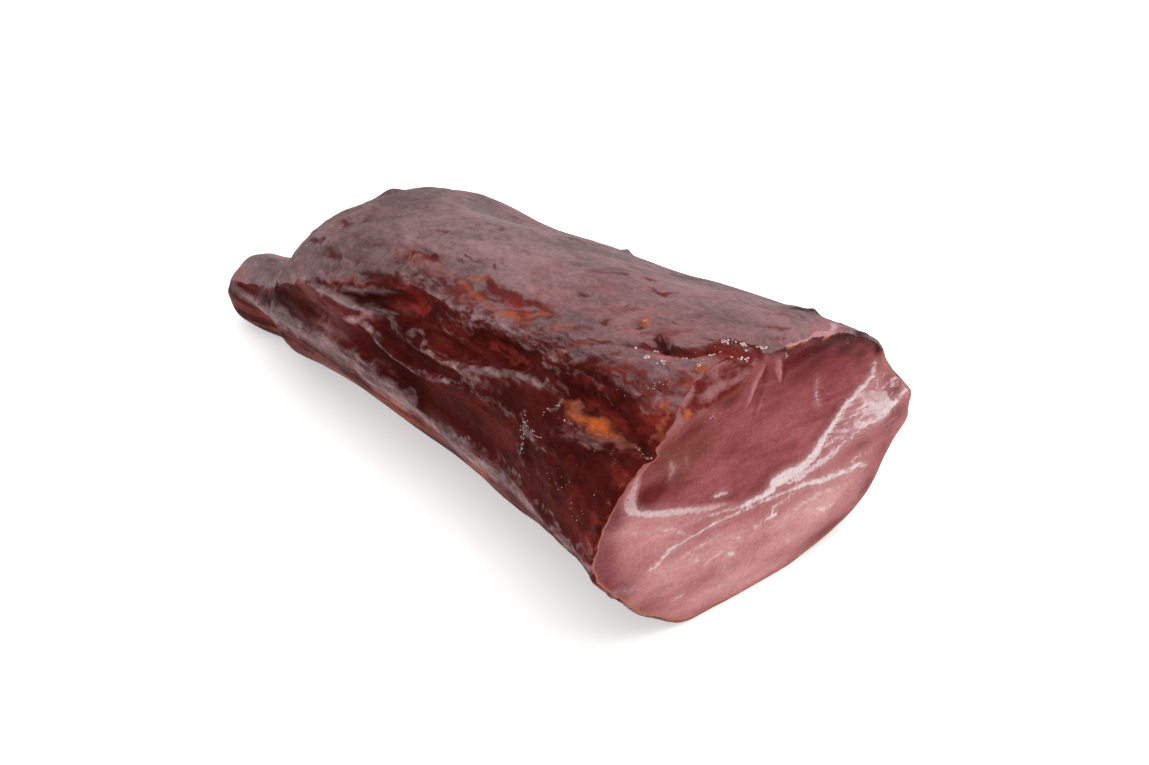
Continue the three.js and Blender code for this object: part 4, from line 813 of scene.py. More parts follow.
# Soft spots of the cut: y, z, half width, half height, share.
CUT_SPOTS = {
    # Deep red places: dried meat, and painted shade under the overhanging upper rim and where the face turns
    # away at its edges.
    "shady": [
        (17, 75, 10, 5, 1), (3, 75, 2.2, 5, 0.7), (8, 62, 6, 4.4, 0.4), (2, 61, 4, 4, 0.35),
        (27, 70, 9, 4, 0.55), (11.4, 74, 2, 6, 1), (18, 69, 8, 5, 0.6), (9, 66, 6, 3, 0.45),
        (-41, 53, 9, 5, 0.95), (-32, 50, 10, 4, 0.5), (-44, 58, 2, 5, 0.35), (-12, 74.6, 9, 2.4, 0.9),
        (-8, 81.4, 10, 2.6, 0.75), (-25, 68, 9, 3.4, 0.75), (-11, 72, 6, 4, 0.9), (-6, 76, 4, 3, 0.4),
        (-14, 65, 9, 3, 0.3), (3, 37.4, 6, 3, 0.45), (-6, 38, 6, 2, 0.25), (65, 36.6, 6, 4, 0.5),
        (53, 60, 1.6, 6, 0.5), (58, 54, 3, 4, 0.4), (-56, 54, 5, 5, 0.5), (-58, 29, 5, 5, 0.35),
    ],
    # Darkest places at the upper right: charred meat, and painted shade in the dish below the overhanging
    # rim.
    "charred": [
        (29, 75.6, 13, 4, 0.9), (39, 71, 9, 5, 0.85), (45, 66, 6, 6, 0.65), (13, 77.6, 5, 3, 0.7),
        (24, 72, 11, 5, 0.55),
    ],
    # Painted shade along the edges of the lower muscle, where the face turns away from the light.
    "dull": [
        (-57, 52, 8, 7, 1.1), (-62, 38, 10, 14, 1.1), (-56, 24, 10, 7, 1), (-46, 14, 11, 5, 0.75),
        (40, 5, 16, 3.4, 1), (54, 14, 6, 7, 0.8), (60, 25, 6, 6, 0.6), (48, 32, 8, 2.6, 0.6),
        (61, 47, 6, 5, 1), (60, 33, 7, 4, 0.7), (41, 44.6, 5, 2, 0.4), (-38, 19, 12, 1.6, 0.4),
        (-25, 35, 12, 1.4, 0.3),
    ],
    # The brownish sheen of the upper left.
    "olive": [
        (-34, 63, 10, 5, 1), (-24, 61, 10, 6, 0.8), (-42, 62, 4, 4, 0.7), (-28, 55, 9, 5, 0.5),
    ],
    # Lighter and pinker places, which on the upper muscle also lay on a painted sheen.
    "light": [
        (-18, 23, 26, 7, 0.5), (0, 3, 22, 3, 0.5), (-40, 38, 16, 6, 0.35), (30, 18, 14, 6, 0.6),
        (-33, 58, 2.6, 2.6, 0.6), (52, 45, 9, 6, 0.5), (15, 20, 10, 3, 0.55), (-50, 45, 8, 5, 0.3),
        (24, 47, 14, 6, 0.25), (35, 56, 8, 8, 0.2), (42, 20, 7, 6, 0.35), (-12, 7, 22, 5, 0.55),
        (14, 12, 16, 5, 0.4),
    ],
    # Fat browned to orange at the upper left.
    "orange": [
        (-27.5, 74, 2.6, 2.4, 1), (-35.5, 77.5, 2.8, 1.6, 1), (-44, 64, 1.2, 3, 0.6),
        (-33, 71, 4, 0.9, 0.5), (-21, 72.8, 5, 0.7, 0.5),
    ],
    # Where tiny painted glints lie.
    "sprinkled": [
        (-17, 68.6, 6, 1.8, 1), (-24, 66.4, 4, 1.8, 0.7), (9, 66.4, 3, 1.4, 0.8), (12, 78.4, 2.4, 1.6, 0.9),
        (40, 72, 5, 3, 0.7), (30, 60, 12, 6, 0.3), (-4, 66, 3, 2, 0.5),
    ],
}


def soft_field(u, v, spots, wrap=False):
    """The strongest of several soft spots (u, v, half width, half height, share), each a bell in u and v.
    Where wrap is true, v is an angle in degrees."""
    field = np.zeros(u.shape)
    for at_u, at_v, width, height, share in spots:
        above = turn(v, at_v) if wrap else v - at_v
        field = np.maximum(field, share * bell((u - at_u) / width) * bell(above / height))
    return field


def stroke_field(u, v, paths, wrap=True):
    """The strongest of several strokes, each a bell across a path (u, v, half width, strength)."""
    field = np.zeros(u.shape)
    for path in paths:
        distance, _, value = nearest(u, v, path, wrap)
        field = np.maximum(field, value[..., 1] * bell(distance / value[..., 0]))
    return field


def skin_fields(points, x, angle):
    """What colours the skin: how much of the dried film lies there, how far each place belongs to the hazy
    far end, the low foot and underside, the near top, the frayed edge of the film and the painted shade round
    the far crown and the tail, and each kind of stroke. Places are first shifted by short waves, so that no
    edge is even."""
    x = x + 1.1 * undulation(points, 8, 41) + 0.45 * undulation(points, 3, 43)
    angle = angle + 0.9 * undulation(points, 7, 47) + 0.4 * undulation(points, 2.6, 53)
    distance, side, _ = nearest(x, angle, FILM_EDGE)
    far, near = FILM_FRAY
    width = far + (near - far) * smooth((x + 60) / 30)
    inside = np.minimum(side * distance / width, turn(angle, FILM_END) / far)
    values = {
        "film": smooth(0.5 + inside),
        "hazy": smooth((-10 - x) / 50),
        "low": smooth(turn(angle, UNDERSIDE[0]) / 8) * smooth(turn(UNDERSIDE[1], angle) / 8),
        "near": smooth((x + 30) / 110) * bell(turn(angle, 108) / 48),
        "frayed": smooth((x + 60) / 30) * bell(turn(angle, 131) / 11),
        "dim": soft_field(x, angle, FAR_SHADE_SPOTS, wrap=True),
    }
    for name, paths in STROKES.items():
        values[name] = stroke_field(x, angle, paths)
    return values


def cut_fields(y, z, inward):
    """What colours the cut: depth in its fat seams and their whiteness, the pale ridges, how far to the right
    and how far in from the rim each place lies, depth inside each outline, and each kind of soft spot."""
    seam, white = np.full(y.shape, -4.0), np.zeros(y.shape)
    for path in SEAMS:
        distance, _, value = nearest(y, z, path, wrap=False)
        closer = value[..., 0] - distance > seam
        seam = np.where(closer, value[..., 0] - distance, seam)
        white = np.where(closer, value[..., 1], white)
    fields = {"seam": seam, "white": white, "ridge": stroke_field(y, z, CUT_RIDGES, wrap=False),
              "rightward": smooth((y + 3) / 14), "inward": np.clip(inward, 0, RIM_REACH)}
    for name, corners in OUTLINES.items():
        fields[name] = np.clip(within(y, z, corners), -OUTLINE_REACH, OUTLINE_REACH)
    for name, spots in CUT_SPOTS.items():
        fields[name] = soft_field(y, z, spots)
    return fields


def cut_grid(rim, shares):
    """The cut over (share of the way from its middle to the rim, angle): its plane, worn back at the rolled
    crust, plus broad swellings as bells, ridges, raised seams, a groove just inside the upper muscle, and
    short waves, which all die out at the rim. The seams run slantwise into the meat, so they shift with the
    relief."""
    middle = RINGS[-1, 1:4]
    points = middle + shares[:, None, None] * (rim[None] - middle)
    y, z = points[..., 1], points[..., 2]
    inward = (1 - shares)[:, None] * np.linalg.norm(rim - middle, axis=-1)[None]
    out = np.zeros(y.shape)
    for at_y, at_z, size, width, height in CUT_RELIEF:
        out += size * bell((y - at_y) / width) * bell((z - at_z) / height)
    out = out * smooth((1 - shares) * 4)[:, None] - worn_back(y, z)
    fields = cut_fields(y + SLANT[0] * out, z + SLANT[1] * out, inward)
    fine = RIDGE_HEIGHT * fields["ridge"] + SEAM_HEIGHT * smooth(fields["seam"] + 0.6) * fields["white"]
    fine -= GROOVE_DEPTH * smooth(fields["upper"] / 1.6) * bell(fields["upper"] / 5)
    fine += 0.13 * undulation(points * [1, 0.45, 1], 4.5, 17) + 0.08 * undulation(points, 2.4, 19)
    fine += MARBLE_WAVE * smooth(fields["marble"]) * undulation(points, 3.4, 23)
    points[..., 0] = CUT_X + out + fine * smooth(inward / RIM_FADE)
    return points, fields


def even_angles(count):
    """Angles of the points of a ring, closer together round CLOSEST_AT and wider apart opposite."""
    even = np.arange(count) * 360.0 / count
    return even - CROWDING * 180 / math.pi * np.sin(np.radians(even - CLOSEST_AT))


def ring_faces(rings, around):
    """The faces over rings of points from one pole to the other: squares between the rings, and a fan of
    triangles at the first and at the last pole. The points are counted ring by ring, then the two poles."""
    i, j = (part.ravel() for part in np.meshgrid(np.arange(rings - 1), np.arange(around), indexing="ij"))
    after = (j + 1) % around
    squares = np.stack([i * around + j, i * around + after, (i + 1) * around + after,
                        (i + 1) * around + j], -1)
    j, base = np.arange(around), (rings - 1) * around
    after = (j + 1) % around
    first = np.stack([np.full(around, rings * around), after, j], -1)
    last = np.stack([np.full(around, rings * around + 1), base + j, base + after], -1)
    return squares, first, last


def closed_mesh(name, points, materials, last_of_first):
    """A closed mesh over rings of points from one pole to the other, which are the first and last row's
    mean, with its faces turned outwards. The squares after ring last_of_first and the fan at the last pole
    take the second material."""
    rings, around = points.shape[:2]
    flat = np.concatenate([points.reshape(-1, 3), [points[0].mean(0), points[-1].mean(0)]])
    faces = [face for part in ring_faces(rings, around) for face in part.tolist()]
    mesh = bpy.data.meshes.new(name)
    mesh.from_pydata(flat * MM, [], faces)
    for material in materials:
        mesh.materials.append(material)
    index = np.concatenate([np.repeat(np.arange(rings - 1) >= last_of_first, around),
                            np.zeros(around, bool), np.ones(around, bool)])
    mesh.polygons.foreach_set("material_index", index.astype(np.int32))
    mesh.polygons.foreach_set("use_smooth", np.ones(len(index), bool))
    mesh.update()
    if mesh.validate():
        raise RuntimeError(f"{name} isn't a valid mesh")
    return mesh


def carry(mesh, name, rows):
    """Puts a value for each point of the rings, and the means of the first and last ring for the poles, on
    the mesh as an attribute."""
    values = np.concatenate([rows.ravel(), [rows[0].mean(), rows[-1].mean()]])
    attribute = mesh.attributes.new(name, "FLOAT", "POINT")
    attribute.data.foreach_set("value", values.astype(np.float32))


def add_piece(name, mesh):
    """Links the mesh as a piece that rides on the meat's body."""
    piece = bpy.data.objects.new(name, mesh)
    bpy.context.scene.collection.objects.link(piece)
    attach(piece, "root")
    return piece


class Number:
    """A socket that carries a number. Sums, differences and products of it add Math nodes."""

    def __init__(self, nodes, socket):
        self.nodes, self.socket = nodes, socket

    def math(self, operation, *others, swap=False):
        """A Math node of that operation, with this number first, or last where swap is true."""
        terms = (*others, self) if swap else (self, *others)
        node = self.nodes.add("ShaderNodeMath", {"operation": operation}, dict(enumerate(terms)))
        return Number(self.nodes, node.outputs[0])

    def __add__(self, other):
        return self.math("ADD", other)

    def __sub__(self, other):
        return self.math("SUBTRACT", other)

    def __rsub__(self, other):
        return self.math("SUBTRACT", other, swap=True)

    def __mul__(self, other):
        return self.math("MULTIPLY", other)

    __radd__ = __add__
    __rmul__ = __mul__

    def maximum(self, other):
        return self.math("MAXIMUM", other)

    def minimum(self, other):
        return self.math("MINIMUM", other)

    def step(self, low, high):
        """0 up to low, 1 from high, with level ends between them."""
        node = self.nodes.add("ShaderNodeMapRange", {"interpolation_type": "SMOOTHSTEP"},
                              {"Value": self, "From Min": low, "From Max": high})
        return Number(self.nodes, node.outputs[0])


def rgba(colour):
    """The colour with full opacity."""
    return (*colour, 1.0)


class Nodes:
    """The nodes of one material."""

    def __init__(self, name):
        self.material = bpy.data.materials.new(name)
        self.material.use_nodes = True
        self.tree = self.material.node_tree
        self.tree.nodes.clear()
        self.place = self.add("ShaderNodeTexCoord").outputs["Object"]

    def add(self, kind, settings=None, inputs=None):
        """A node of that type, with its settings set first and then its sockets set or linked."""
        node = self.tree.nodes.new(kind)
        for name, value in (settings or {}).items():
            setattr(node, name, value)
        for name, value in (inputs or {}).items():
            value = getattr(value, "socket", value)
            if isinstance(value, bpy.types.NodeSocket):
                self.tree.links.new(value, node.inputs[name])
            else:
                node.inputs[name].default_value = value
        return node

    def attribute(self, name):
        """The number that the mesh carries under that name."""
        return Number(self, self.add("ShaderNodeAttribute", {"attribute_name": name}).outputs["Fac"])

    def drawn(self, stretch, heading):
        """The place on the piece, turned back about Z by the heading in degrees and scaled for each axis."""
        place = self.place
        if heading:
            place = self.add("ShaderNodeVectorRotate", {"rotation_type": "Z_AXIS"},
                             {"Vector": place, "Angle": math.radians(-heading)}).outputs[0]
        return self.add("ShaderNodeVectorMath", {"operation": "MULTIPLY"}, {0: place, 1: stretch}).outputs[0]

    def noise(self, size, stretch=(1, 1, 1), detail=2.0, twist=0.0, offset=0.0, heading=0.0):
        """Noise round 0 and mostly within -1 and 1, in lumps of about that many millimetres."""
        node = self.add("ShaderNodeTexNoise", {"noise_dimensions": "4D"},
                        {"Vector": self.drawn(stretch, heading), "Scale": 0.5 / (size * MM), "W": offset,
                         "Detail": detail, "Roughness": 0.55, "Distortion": twist})
        return Number(self, node.outputs[0]) * 4.0 - 2.0

    def mix(self, share, first, second, blend="MIX"):
        """The first colour, with the second laid over it by its share in that blend mode. A colour may be a
        socket, or three values."""
        first, second = (colour if isinstance(colour, bpy.types.NodeSocket) else rgba(colour)
                         for colour in (first, second))
        node = self.add("ShaderNodeMix", {"data_type": "RGBA", "blend_type": blend},
                        {0: share, 6: first, 7: second})
        return node.outputs[2]

    def finish(self, colour, roughness, height, coat, constants):
        """The shader: colour, roughness, coat and bump height in millimetres vary, all else is constant."""
        bump = self.add("ShaderNodeBump", None, {"Strength": 1.0, "Distance": MM, "Height": height})
        shader = self.add("ShaderNodeBsdfPrincipled", None,
                          {"Base Color": colour, "Roughness": roughness, "Coat Weight": coat,
                           "Normal": bump.outputs[0], **constants})
        self.add("ShaderNodeOutputMaterial", None, {"Surface": shader.outputs[0]})
        return self.material


FILM_HEADING = 38                      # direction of the film's spots and smears, in degrees from +X

# Dark and light ends of the fine light and shade, laid over the skin and over the cut.
LOW_LIGHT, HIGH_LIGHT = (0.12, 0.1, 0.1), (0.95, 0.93, 0.93)
LOW_MOTTLE, HIGH_MOTTLE = (0.2, 0.16, 0.16), (0.9, 0.85, 0.85)


def crust_material(tones):
    """Smoked skin: dark lean meat with redder fibres that glows where it is wet, a pale dried film that is
    torn at its lower edge and thin in places, pale partly as painted sheen and thinner in the folds as partly
    painted shade, pale veils drawn out in threads, also pale partly as painted sheen, pink places with a
    painted highlight along the peeled film, fat browned to orange, scorched places with painted shade along
    the folds, a painted highlight on the crowns of the cords, painted shade round the far crown, and tiny
    painted glints."""
    nodes = Nodes("smoked crust")
    broad = nodes.noise(26, (0.5, 1, 1), 2)
    cloud = nodes.noise(7, (0.5, 1, 1), 3, 0.3, 1.0)
    lens = nodes.noise(3.4, (0.3, 1, 1), 3, 0.3, 7.0)
    streak = nodes.noise(2.2, (0.16, 1, 1), 3, 0.3, 2.0)
    speck = nodes.noise(1.1, (0.6, 1, 1), 3, 0.4, 3.0)
    thread = nodes.noise(0.9, (0.08, 1, 1), 3, 0.2, 4.0)
    fine = nodes.noise(0.5, (0.6, 1, 1), 2, 0, 5.0)
    sparkle = nodes.noise(0.5, (0.7, 1, 1), 1, 0, 8.0)
    blot = nodes.noise(3.2, (0.5, 1, 1), 3, 0.3, 9.0, FILM_HEADING)
    cross = nodes.noise(6, (0.35, 1, 1), 3, 0.2, 10.0, FILM_HEADING)
    drift = nodes.noise(2.6, (0.3, 1, 1), 3, 0.3, 11.0, FILM_HEADING)
    names = ("film", "veil", "stain", "glow", "ochre", "pink", "burnt", "crest", "sunk", "near", "dim",
             "hazy", "low", "glint", "frayed")
    (film, veil, stain, glow, ochre, pink, burnt, crest, sunk, near, dim, hazy, low, glint, frayed) = map(
        nodes.attribute, names)

    smooth_end = 1 - 0.72 * hazy.maximum(0.7 * low)
    ragged = (0.14 * cloud + 0.22 * streak + 0.18 * speck + 0.1 * thread) * smooth_end

    def torn(field, share, low, high):
        """The field with ragged edges, and nothing where the field itself is absent."""
        return (field + share * ragged).step(low, high) * field.step(0.01, 0.2)

    # Lean meat, its stains and where it is wet.
    colour = nodes.mix((0.4 + 0.5 * cloud + 0.4 * streak).step(0, 1), tones.dark, tones.smoked)
    colour = nodes.mix((lens + 0.6 * thread).step(0.1, 1.6) * 0.45, colour, tones.stain)
    stained = torn(stain, 1.5, 0.3, 0.85)
    wet = torn(glow, 1, 0.1, 1.1)
    colour = nodes.mix(stained * 0.7, colour, tones.stain)
    colour = nodes.mix(wet * 0.85, colour, tones.glow)
    colour = nodes.mix((film + 0.8 * ragged).step(0.05, 0.55) * 0.8 * (1 - wet) * (1 - 0.8 * stained), colour,
                       tones.lean)

    # The dried film, where it covers the meat and where it wears thin, and its shades, which are pale partly
    # as painted sheen.
    thin = (drift + 0.6 * cross + 0.4 * speck + 0.35 * near + 0.9 * frayed).step(0.5, 1.5)
    cover = (film + 1.6 * ragged).step(0.32, 0.8) * (1 - 0.9 * stained)
    cover = cover * (1 - (0.25 + 0.5 * near + 0.6 * frayed).minimum(0.9) * thin)
    # Less film deep in folds and pits, so that they show the darker meat: partly painted shade in the
    # creases.
    cover = cover * (1 - 0.6 * sunk.step(0.6, 2.6)) * (1 - 0.4 * wet)
    haze = (0.6 * streak + 0.5 * cloud + 0.5 * thread + 0.6 * hazy).step(0.45, 1.9) * (1 - cover)
    colour = nodes.mix(haze * (0.14 + 0.2 * hazy), colour, tones.veil)
    pale = nodes.mix((0.5 + 0.45 * broad + 0.4 * cloud).step(0, 1), tones.film, tones.pink_film)
    pale = nodes.mix((near + 0.25 * cloud + 0.3 * drift).step(0.35, 1.3) * 0.7, pale, tones.warm_film)
    pale = nodes.mix((blot + 0.4 * drift + 0.3 * near).step(0.3, 1.2) * 0.8, pale, tones.brown_film)
    pale = nodes.mix((0.8 * cross + 0.4 * drift - 0.5 * near).step(0.2, 1.2) * 0.6, pale, tones.grey_film)
    colour = nodes.mix(cover * 0.95, colour, pale)

    # Veils and cords on the dark side, pale partly as painted sheen, pink and browned places with a painted
    # highlight along the peeled film, scorched places with painted shade along the folds, and the painted
    # highlight on the crowns of cords.
    strands = torn(veil + 0.15 * crest, 1, 0.25, 1.1) * (1 - 0.6 * stained)
    strands = strands * (0.55 + 0.45 * (thread + 0.7 * speck).step(-0.9, 0.7))
    # Pale veils, partly painted sheen; on the foot they lean towards the paler tone of the cords, also
    # painted sheen.
    colour = nodes.mix(strands * 0.82, colour, nodes.mix(low * 0.25, tones.veil, tones.cord_sheen))
    colour = nodes.mix(torn(pink, 1, 0.1, 1) * 0.65 * (1 - 0.6 * stained), colour, tones.pink)
    # Painted highlight along the peeled film, where the pink passes 1.
    colour = nodes.mix(pink.step(1, 1.8) * 0.5, colour, tones.glint)
    browned = torn(ochre, 0.9 - 0.6 * ochre.step(0.4, 1), 0.1, 0.95)
    colour = nodes.mix(browned * (0.8 - 0.3 * pink.step(0.2, 0.9)), colour, tones.ochre)
    colour = nodes.mix((ochre + 0.12 * ragged + 0.05 * drift).step(0.6, 1.2) * 0.9, colour, tones.amber)
    # Scorched places, and painted shade along the folds and under the lip of the crevice.
    colour = nodes.mix(torn(burnt, 0.8, 0.1, 0.9) * (1 - 0.7 * strands) * 0.8, colour, tones.burnt)
    # Painted highlight: the crowns of the cords are paler where they catch the light.
    crown = (crest + 0.3 * speck + 0.4 * thread).step(0.7, 1.7)
    colour = nodes.mix(crown * 0.3, colour, tones.cord_sheen)

    # Fine light and shade over all of it, with painted shade round the far crown, and painted glints.
    # Its last term darkens it round the far crown as painted shade.
    light = 0.5 + 0.22 * cloud + 0.17 * speck + 0.14 * fine + 0.22 * cross + 0.12 * drift - 0.3 * dim
    colour = nodes.mix(0.62, colour, nodes.mix(light.step(0, 1), LOW_LIGHT, HIGH_LIGHT), "OVERLAY")
    # Painted glints: pale specks that stand in for highlights.
    wink = (sparkle + 0.9 * glint).step(1.25, 1.5) * glint.step(0.1, 0.4)
    colour = nodes.mix(wink * 0.85, colour, tones.glint)

    roughness = 0.46 + 0.06 * cover - 0.16 * wet - 0.08 * stained + 0.05 * speck
    height = (0.2 * streak + 0.14 * thread) * (1 - 0.92 * cover) + 0.16 * speck + 0.09 * fine + 0.1 * cover
    height = height + 0.08 * strands + 0.14 * drift * cover + 0.1 * lens * (1 - cover)
    coat = 0.01 + 0.05 * wet + 0.03 * stained + 0.04 * browned
    return nodes.finish(colour, roughness, height, coat,
                        {"Coat Roughness": 0.22, "IOR": 1.07, "Subsurface Weight": 0.06,
                         "Subsurface Radius": (0.003, 0.001, 0.0006), "Subsurface Scale": 1.0})


def cut_material(tones):
    """The sliced face: a dark upper muscle with a painted sheen, a paler lower one with painted shade along
    its edges, deep red and darkest places that are partly painted shade, white seams and specks of fat, a
    marbled corner, crust rolled over its upper edge, film over the upper right, a brown rind and tiny painted
    glints."""
    nodes = Nodes("cut meat")
    broad = nodes.noise(20, (1, 0.6, 1), 2)
    cloud = nodes.noise(7, (1, 0.6, 1), 3, 0.3, 1.0)
    grain = nodes.noise(0.5, (1, 0.8, 1), 2, 0, 2.0)
    speck = nodes.noise(1.8, (1, 0.8, 1), 2, 0.5, 3.0)
    fibre = nodes.noise(1.6, (1, 0.3, 1.4), 3, 0.6, 4.0)
    sparkle = nodes.noise(0.5, (1, 1, 1), 1, 0, 5.0)
    lump = nodes.noise(3.2, (1, 0.7, 1), 3, 0.3, 6.0)
    names = ("seam", "white", "upper", "marble", "ridge", "shady", "olive", "light", "inward", "rolled",
             "peeled", "sprinkled", "orange", "rightward", "charred", "dull")
    (seam, white, upper, marble, ridge, shady, olive, light, inward, rolled, peeled, sprinkled, orange,
     rightward, charred, dull) = map(nodes.attribute, names)

    # The two muscles, with painted shade along the edges of the lower one and a painted sheen on the upper
    # one, and the marbled corner.
    lower = nodes.mix((0.45 * broad + 0.3 * cloud + 0.12 * fibre + 1.5 * light - 0.45).step(-0.7, 0.9),
                      tones.lower, tones.lower_light)
    # Painted shade along the edges of the lower muscle.
    lower = nodes.mix((dull + 0.2 * cloud + 0.1 * fibre).step(0.1, 1) * 0.85, lower, tones.dull)
    top = nodes.mix((0.5 + 0.45 * broad + 0.4 * cloud + 0.3 * fibre).step(0, 1), tones.upper,
                    tones.upper_light)
    top = nodes.mix((olive + 0.25 * cloud).step(0.1, 0.8) * 0.95, top, tones.olive)
    # Painted sheen: a pale highlight on the upper muscle at the light spots.
    top = nodes.mix((light + 0.15 * fibre - 0.1).step(0, 0.9) * 0.5, top, tones.sheen)
    colour = nodes.mix((upper + 0.5 * speck + 0.3 * grain).step(-0.5, 0.9), lower, top)
    marbled = (marble + 0.8 * cloud).step(-0.6, 1.6)
    veins = (fibre + 0.6 * cloud + 0.4 * speck + 0.9 * light - 0.4).step(0.1, 0.8) * marbled
    colour = nodes.mix(marbled * 0.6 * (1 - 0.7 * dull), colour, tones.marbled)
    colour = nodes.mix(veins * 0.7, colour, tones.fat)

    # Deep red and darkest places, each partly painted shade, ridges and the white of the fat.
    # Deep red places: dried meat, partly painted shade.
    colour = nodes.mix((shady + 0.16 * cloud + 0.06 * speck).step(0.05, 0.95) * 0.92, colour, tones.shady)
    # Charred colour, which also stands in for painted shade below the overhanging rim.
    burnt = nodes.mix((speck + 0.6 * cloud + 0.4 * grain).step(0.1, 1.2) * 0.6, tones.char, tones.ash)
    colour = nodes.mix((charred + 0.14 * cloud + 0.14 * speck + 0.1 * grain).step(0.2, 0.9) * 0.92, colour,
                       burnt)
    colour = nodes.mix((ridge + 0.12 * speck).step(0.2, 1) * 0.85, colour, tones.ridge)
    fat = (seam + 0.4 * speck + 0.25 * grain).step(-0.4, 0.45) * white
    colour = nodes.mix(fat * 0.95, colour, tones.fat)
    sheen = (seam + 0.5 * cloud).step(-2.4, 0.6) * white
    colour = nodes.mix(sheen * 0.18, colour, tones.fat)

    # The rind, the crust rolled over the edge, and the film that hangs over it.
    ragged = rolled + 0.9 * cloud + 0.9 * speck + 0.5 * fibre + 0.3 * grain
    crust = nodes.mix((0.8 * lump + 0.5 * cloud + 0.6 * speck - 1.2 * shady).step(-0.8, 0.3),
                      tones.crust, tones.rolled_film)
    crust = nodes.mix((fibre + 0.5 * speck).step(0.4, 1.4) * 0.7, crust, tones.smoked)
    crust = nodes.mix((orange + 0.2 * fibre + 0.2 * speck).step(0.3, 0.9) * 0.9, crust, tones.orange)
    crust = nodes.mix((1 - (rolled + 0.6 * speck).step(0.4, 3)) * 0.5, crust, tones.browned)
    crust = nodes.mix(rightward, crust, burnt)
    rind = 1 - (inward + 0.4 * cloud + 0.2 * speck).step(0.3, 1.3)
    colour = nodes.mix(rind * 0.75, colour, tones.rind)
    colour = nodes.mix(ragged.step(-3.4, 0.4) * (0.5 - 0.4 * rightward), colour, tones.browned)
    colour = nodes.mix(ragged.step(-1.4, 1.6), colour, crust)
    hanging = peeled + 0.6 * speck + 0.3 * cloud
    crumbs = hanging.step(-1.1, -0.5) * (speck + 0.6 * grain).step(-0.5, 0.5)
    colour = nodes.mix(crumbs * 0.7, colour, tones.orange)
    colour = nodes.mix(hanging.step(-0.4, 0.2), colour,
                       nodes.mix(rightward, tones.rolled_film, tones.peeled))

    # Fine light and shade over all of it, and painted glints.
    mottle = (0.5 + 0.36 * grain + 0.1 * speck + 0.06 * fibre).step(0, 1)
    colour = nodes.mix(0.28, colour, nodes.mix(mottle, LOW_MOTTLE, HIGH_MOTTLE), "OVERLAY")
    # Painted glints: fat-white specks that stand in for highlights.
    wink = (sparkle + 0.8 * sprinkled).step(1.1, 1.4) * sprinkled.step(0.1, 0.4)
    colour = nodes.mix(wink * 0.85, colour, tones.fat)

    roughness = 0.4 + 0.06 * cloud + 0.08 * fat - 0.08 * upper.step(0, 2)
    height = 0.08 * grain + 0.1 * speck + 0.12 * fibre * marbled + 0.12 * fat
    height = height + (0.25 * speck + 0.2 * lump) * rolled.step(-1, 1)
    return nodes.finish(colour, roughness, height, 0.01 + 0.02 * upper.step(0, 2),
                        {"Coat Roughness": 0.2, "IOR": 1.08, "Subsurface Weight": 0.1,
                         "Subsurface Radius": (0.003, 0.0012, 0.0008), "Subsurface Scale": 1.0})


def bead_material(tones):
    """Clear fat that has beaded out and set: glossy, faintly clouded, and pale partly as painted glints."""
    nodes = Nodes("beaded fat")
    cloud = nodes.noise(2.5, (1, 1, 1), 2)
    colour = nodes.mix((0.5 + 0.5 * cloud).step(0, 1), tones.bead, tones.bead_pale)
    return nodes.finish(colour, 0.16 + 0.05 * cloud, 0.03 * nodes.noise(0.5), 0.6,
                        {"Coat Roughness": 0.06, "IOR": 1.45, "Subsurface Weight": 0.2,
                         "Subsurface Radius": (0.002, 0.001, 0.0007), "Subsurface Scale": 1.0})


# Beads of set fat on the skin: x, angle, how many, half length, half width, tilt in degrees, largest
# radius, and how many times longer than wide.
BEADS = [
    (94.6, 99.8, 20, 4.8, 1.7, -38, 0.34, 1.2), (97, 97.4, 4, 1.2, 0.8, -38, 0.6, 1.3),
    (99.4, 92, 8, 0.4, 3.4, 0, 0.38, 1.3), (84.6, 114.4, 11, 3, 0.8, -38, 0.4, 1),
    (89.6, 111.4, 9, 1.8, 1.1, -38, 0.36, 1), (95.6, 108.4, 11, 1.6, 1.3, -38, 0.5, 1.1),
    (98.6, 104.4, 6, 0.8, 1, -38, 0.6, 1.2), (99.2, 100.6, 10, 0.6, 2.8, 0, 0.42, 1),
    (92.4, 107.6, 6, 3.4, 1.2, -38, 0.28, 1), (75.6, 118, 3, 0.6, 0.5, 0, 0.55, 1),
    (69.4, 120.6, 4, 1, 0.5, 0, 0.38, 1), (77, 122.6, 7, 1.6, 0.8, 0, 0.49, 1.2),
    (82, 121.2, 6, 1.2, 0.8, 0, 0.35, 1.2), (98, 116.4, 4, 1.2, 0.8, 0, 0.3, 1.2),
    (63, 108.6, 3, 1, 0.8, 0, 0.26, 1.1), (50.5, 163.5, 20, 2, 3.6, 10, 0.24, 1),
    (52, 170, 11, 1.6, 2.6, 0, 0.22, 1), (57.5, 162, 8, 3, 0.7, 0, 0.22, 1.6),
    (96, 151, 13, 4, 0.8, 6, 0.26, 1.6), (84.5, 131, 10, 2.4, 1.6, 0, 0.2, 1),
    (57, 155, 7, 0.8, 2.6, 20, 0.2, 1), (60.5, 150.5, 6, 1.6, 0.7, 0, 0.2, 1.5),
    (97, 115, 7, 2, 3, 0, 0.2, 1), (88, 127, 7, 3, 2, 0, 0.17, 1), (80, 136, 8, 5, 2, 0, 0.16, 1),
    (72, 169, 7, 8, 2, 0, 0.16, 1.4), (88, 172, 8, 6, 2, 0, 0.17, 1.4),
]
SMALLEST_BEAD = 0.45                   # as a share of the largest radius of its spot
BEAD_HEIGHT = 0.8                      # height of a bead as a share of its width
CLEAR_OF_CUT = 0.5                     # how far the middles of the beads stay behind the plane of the cut


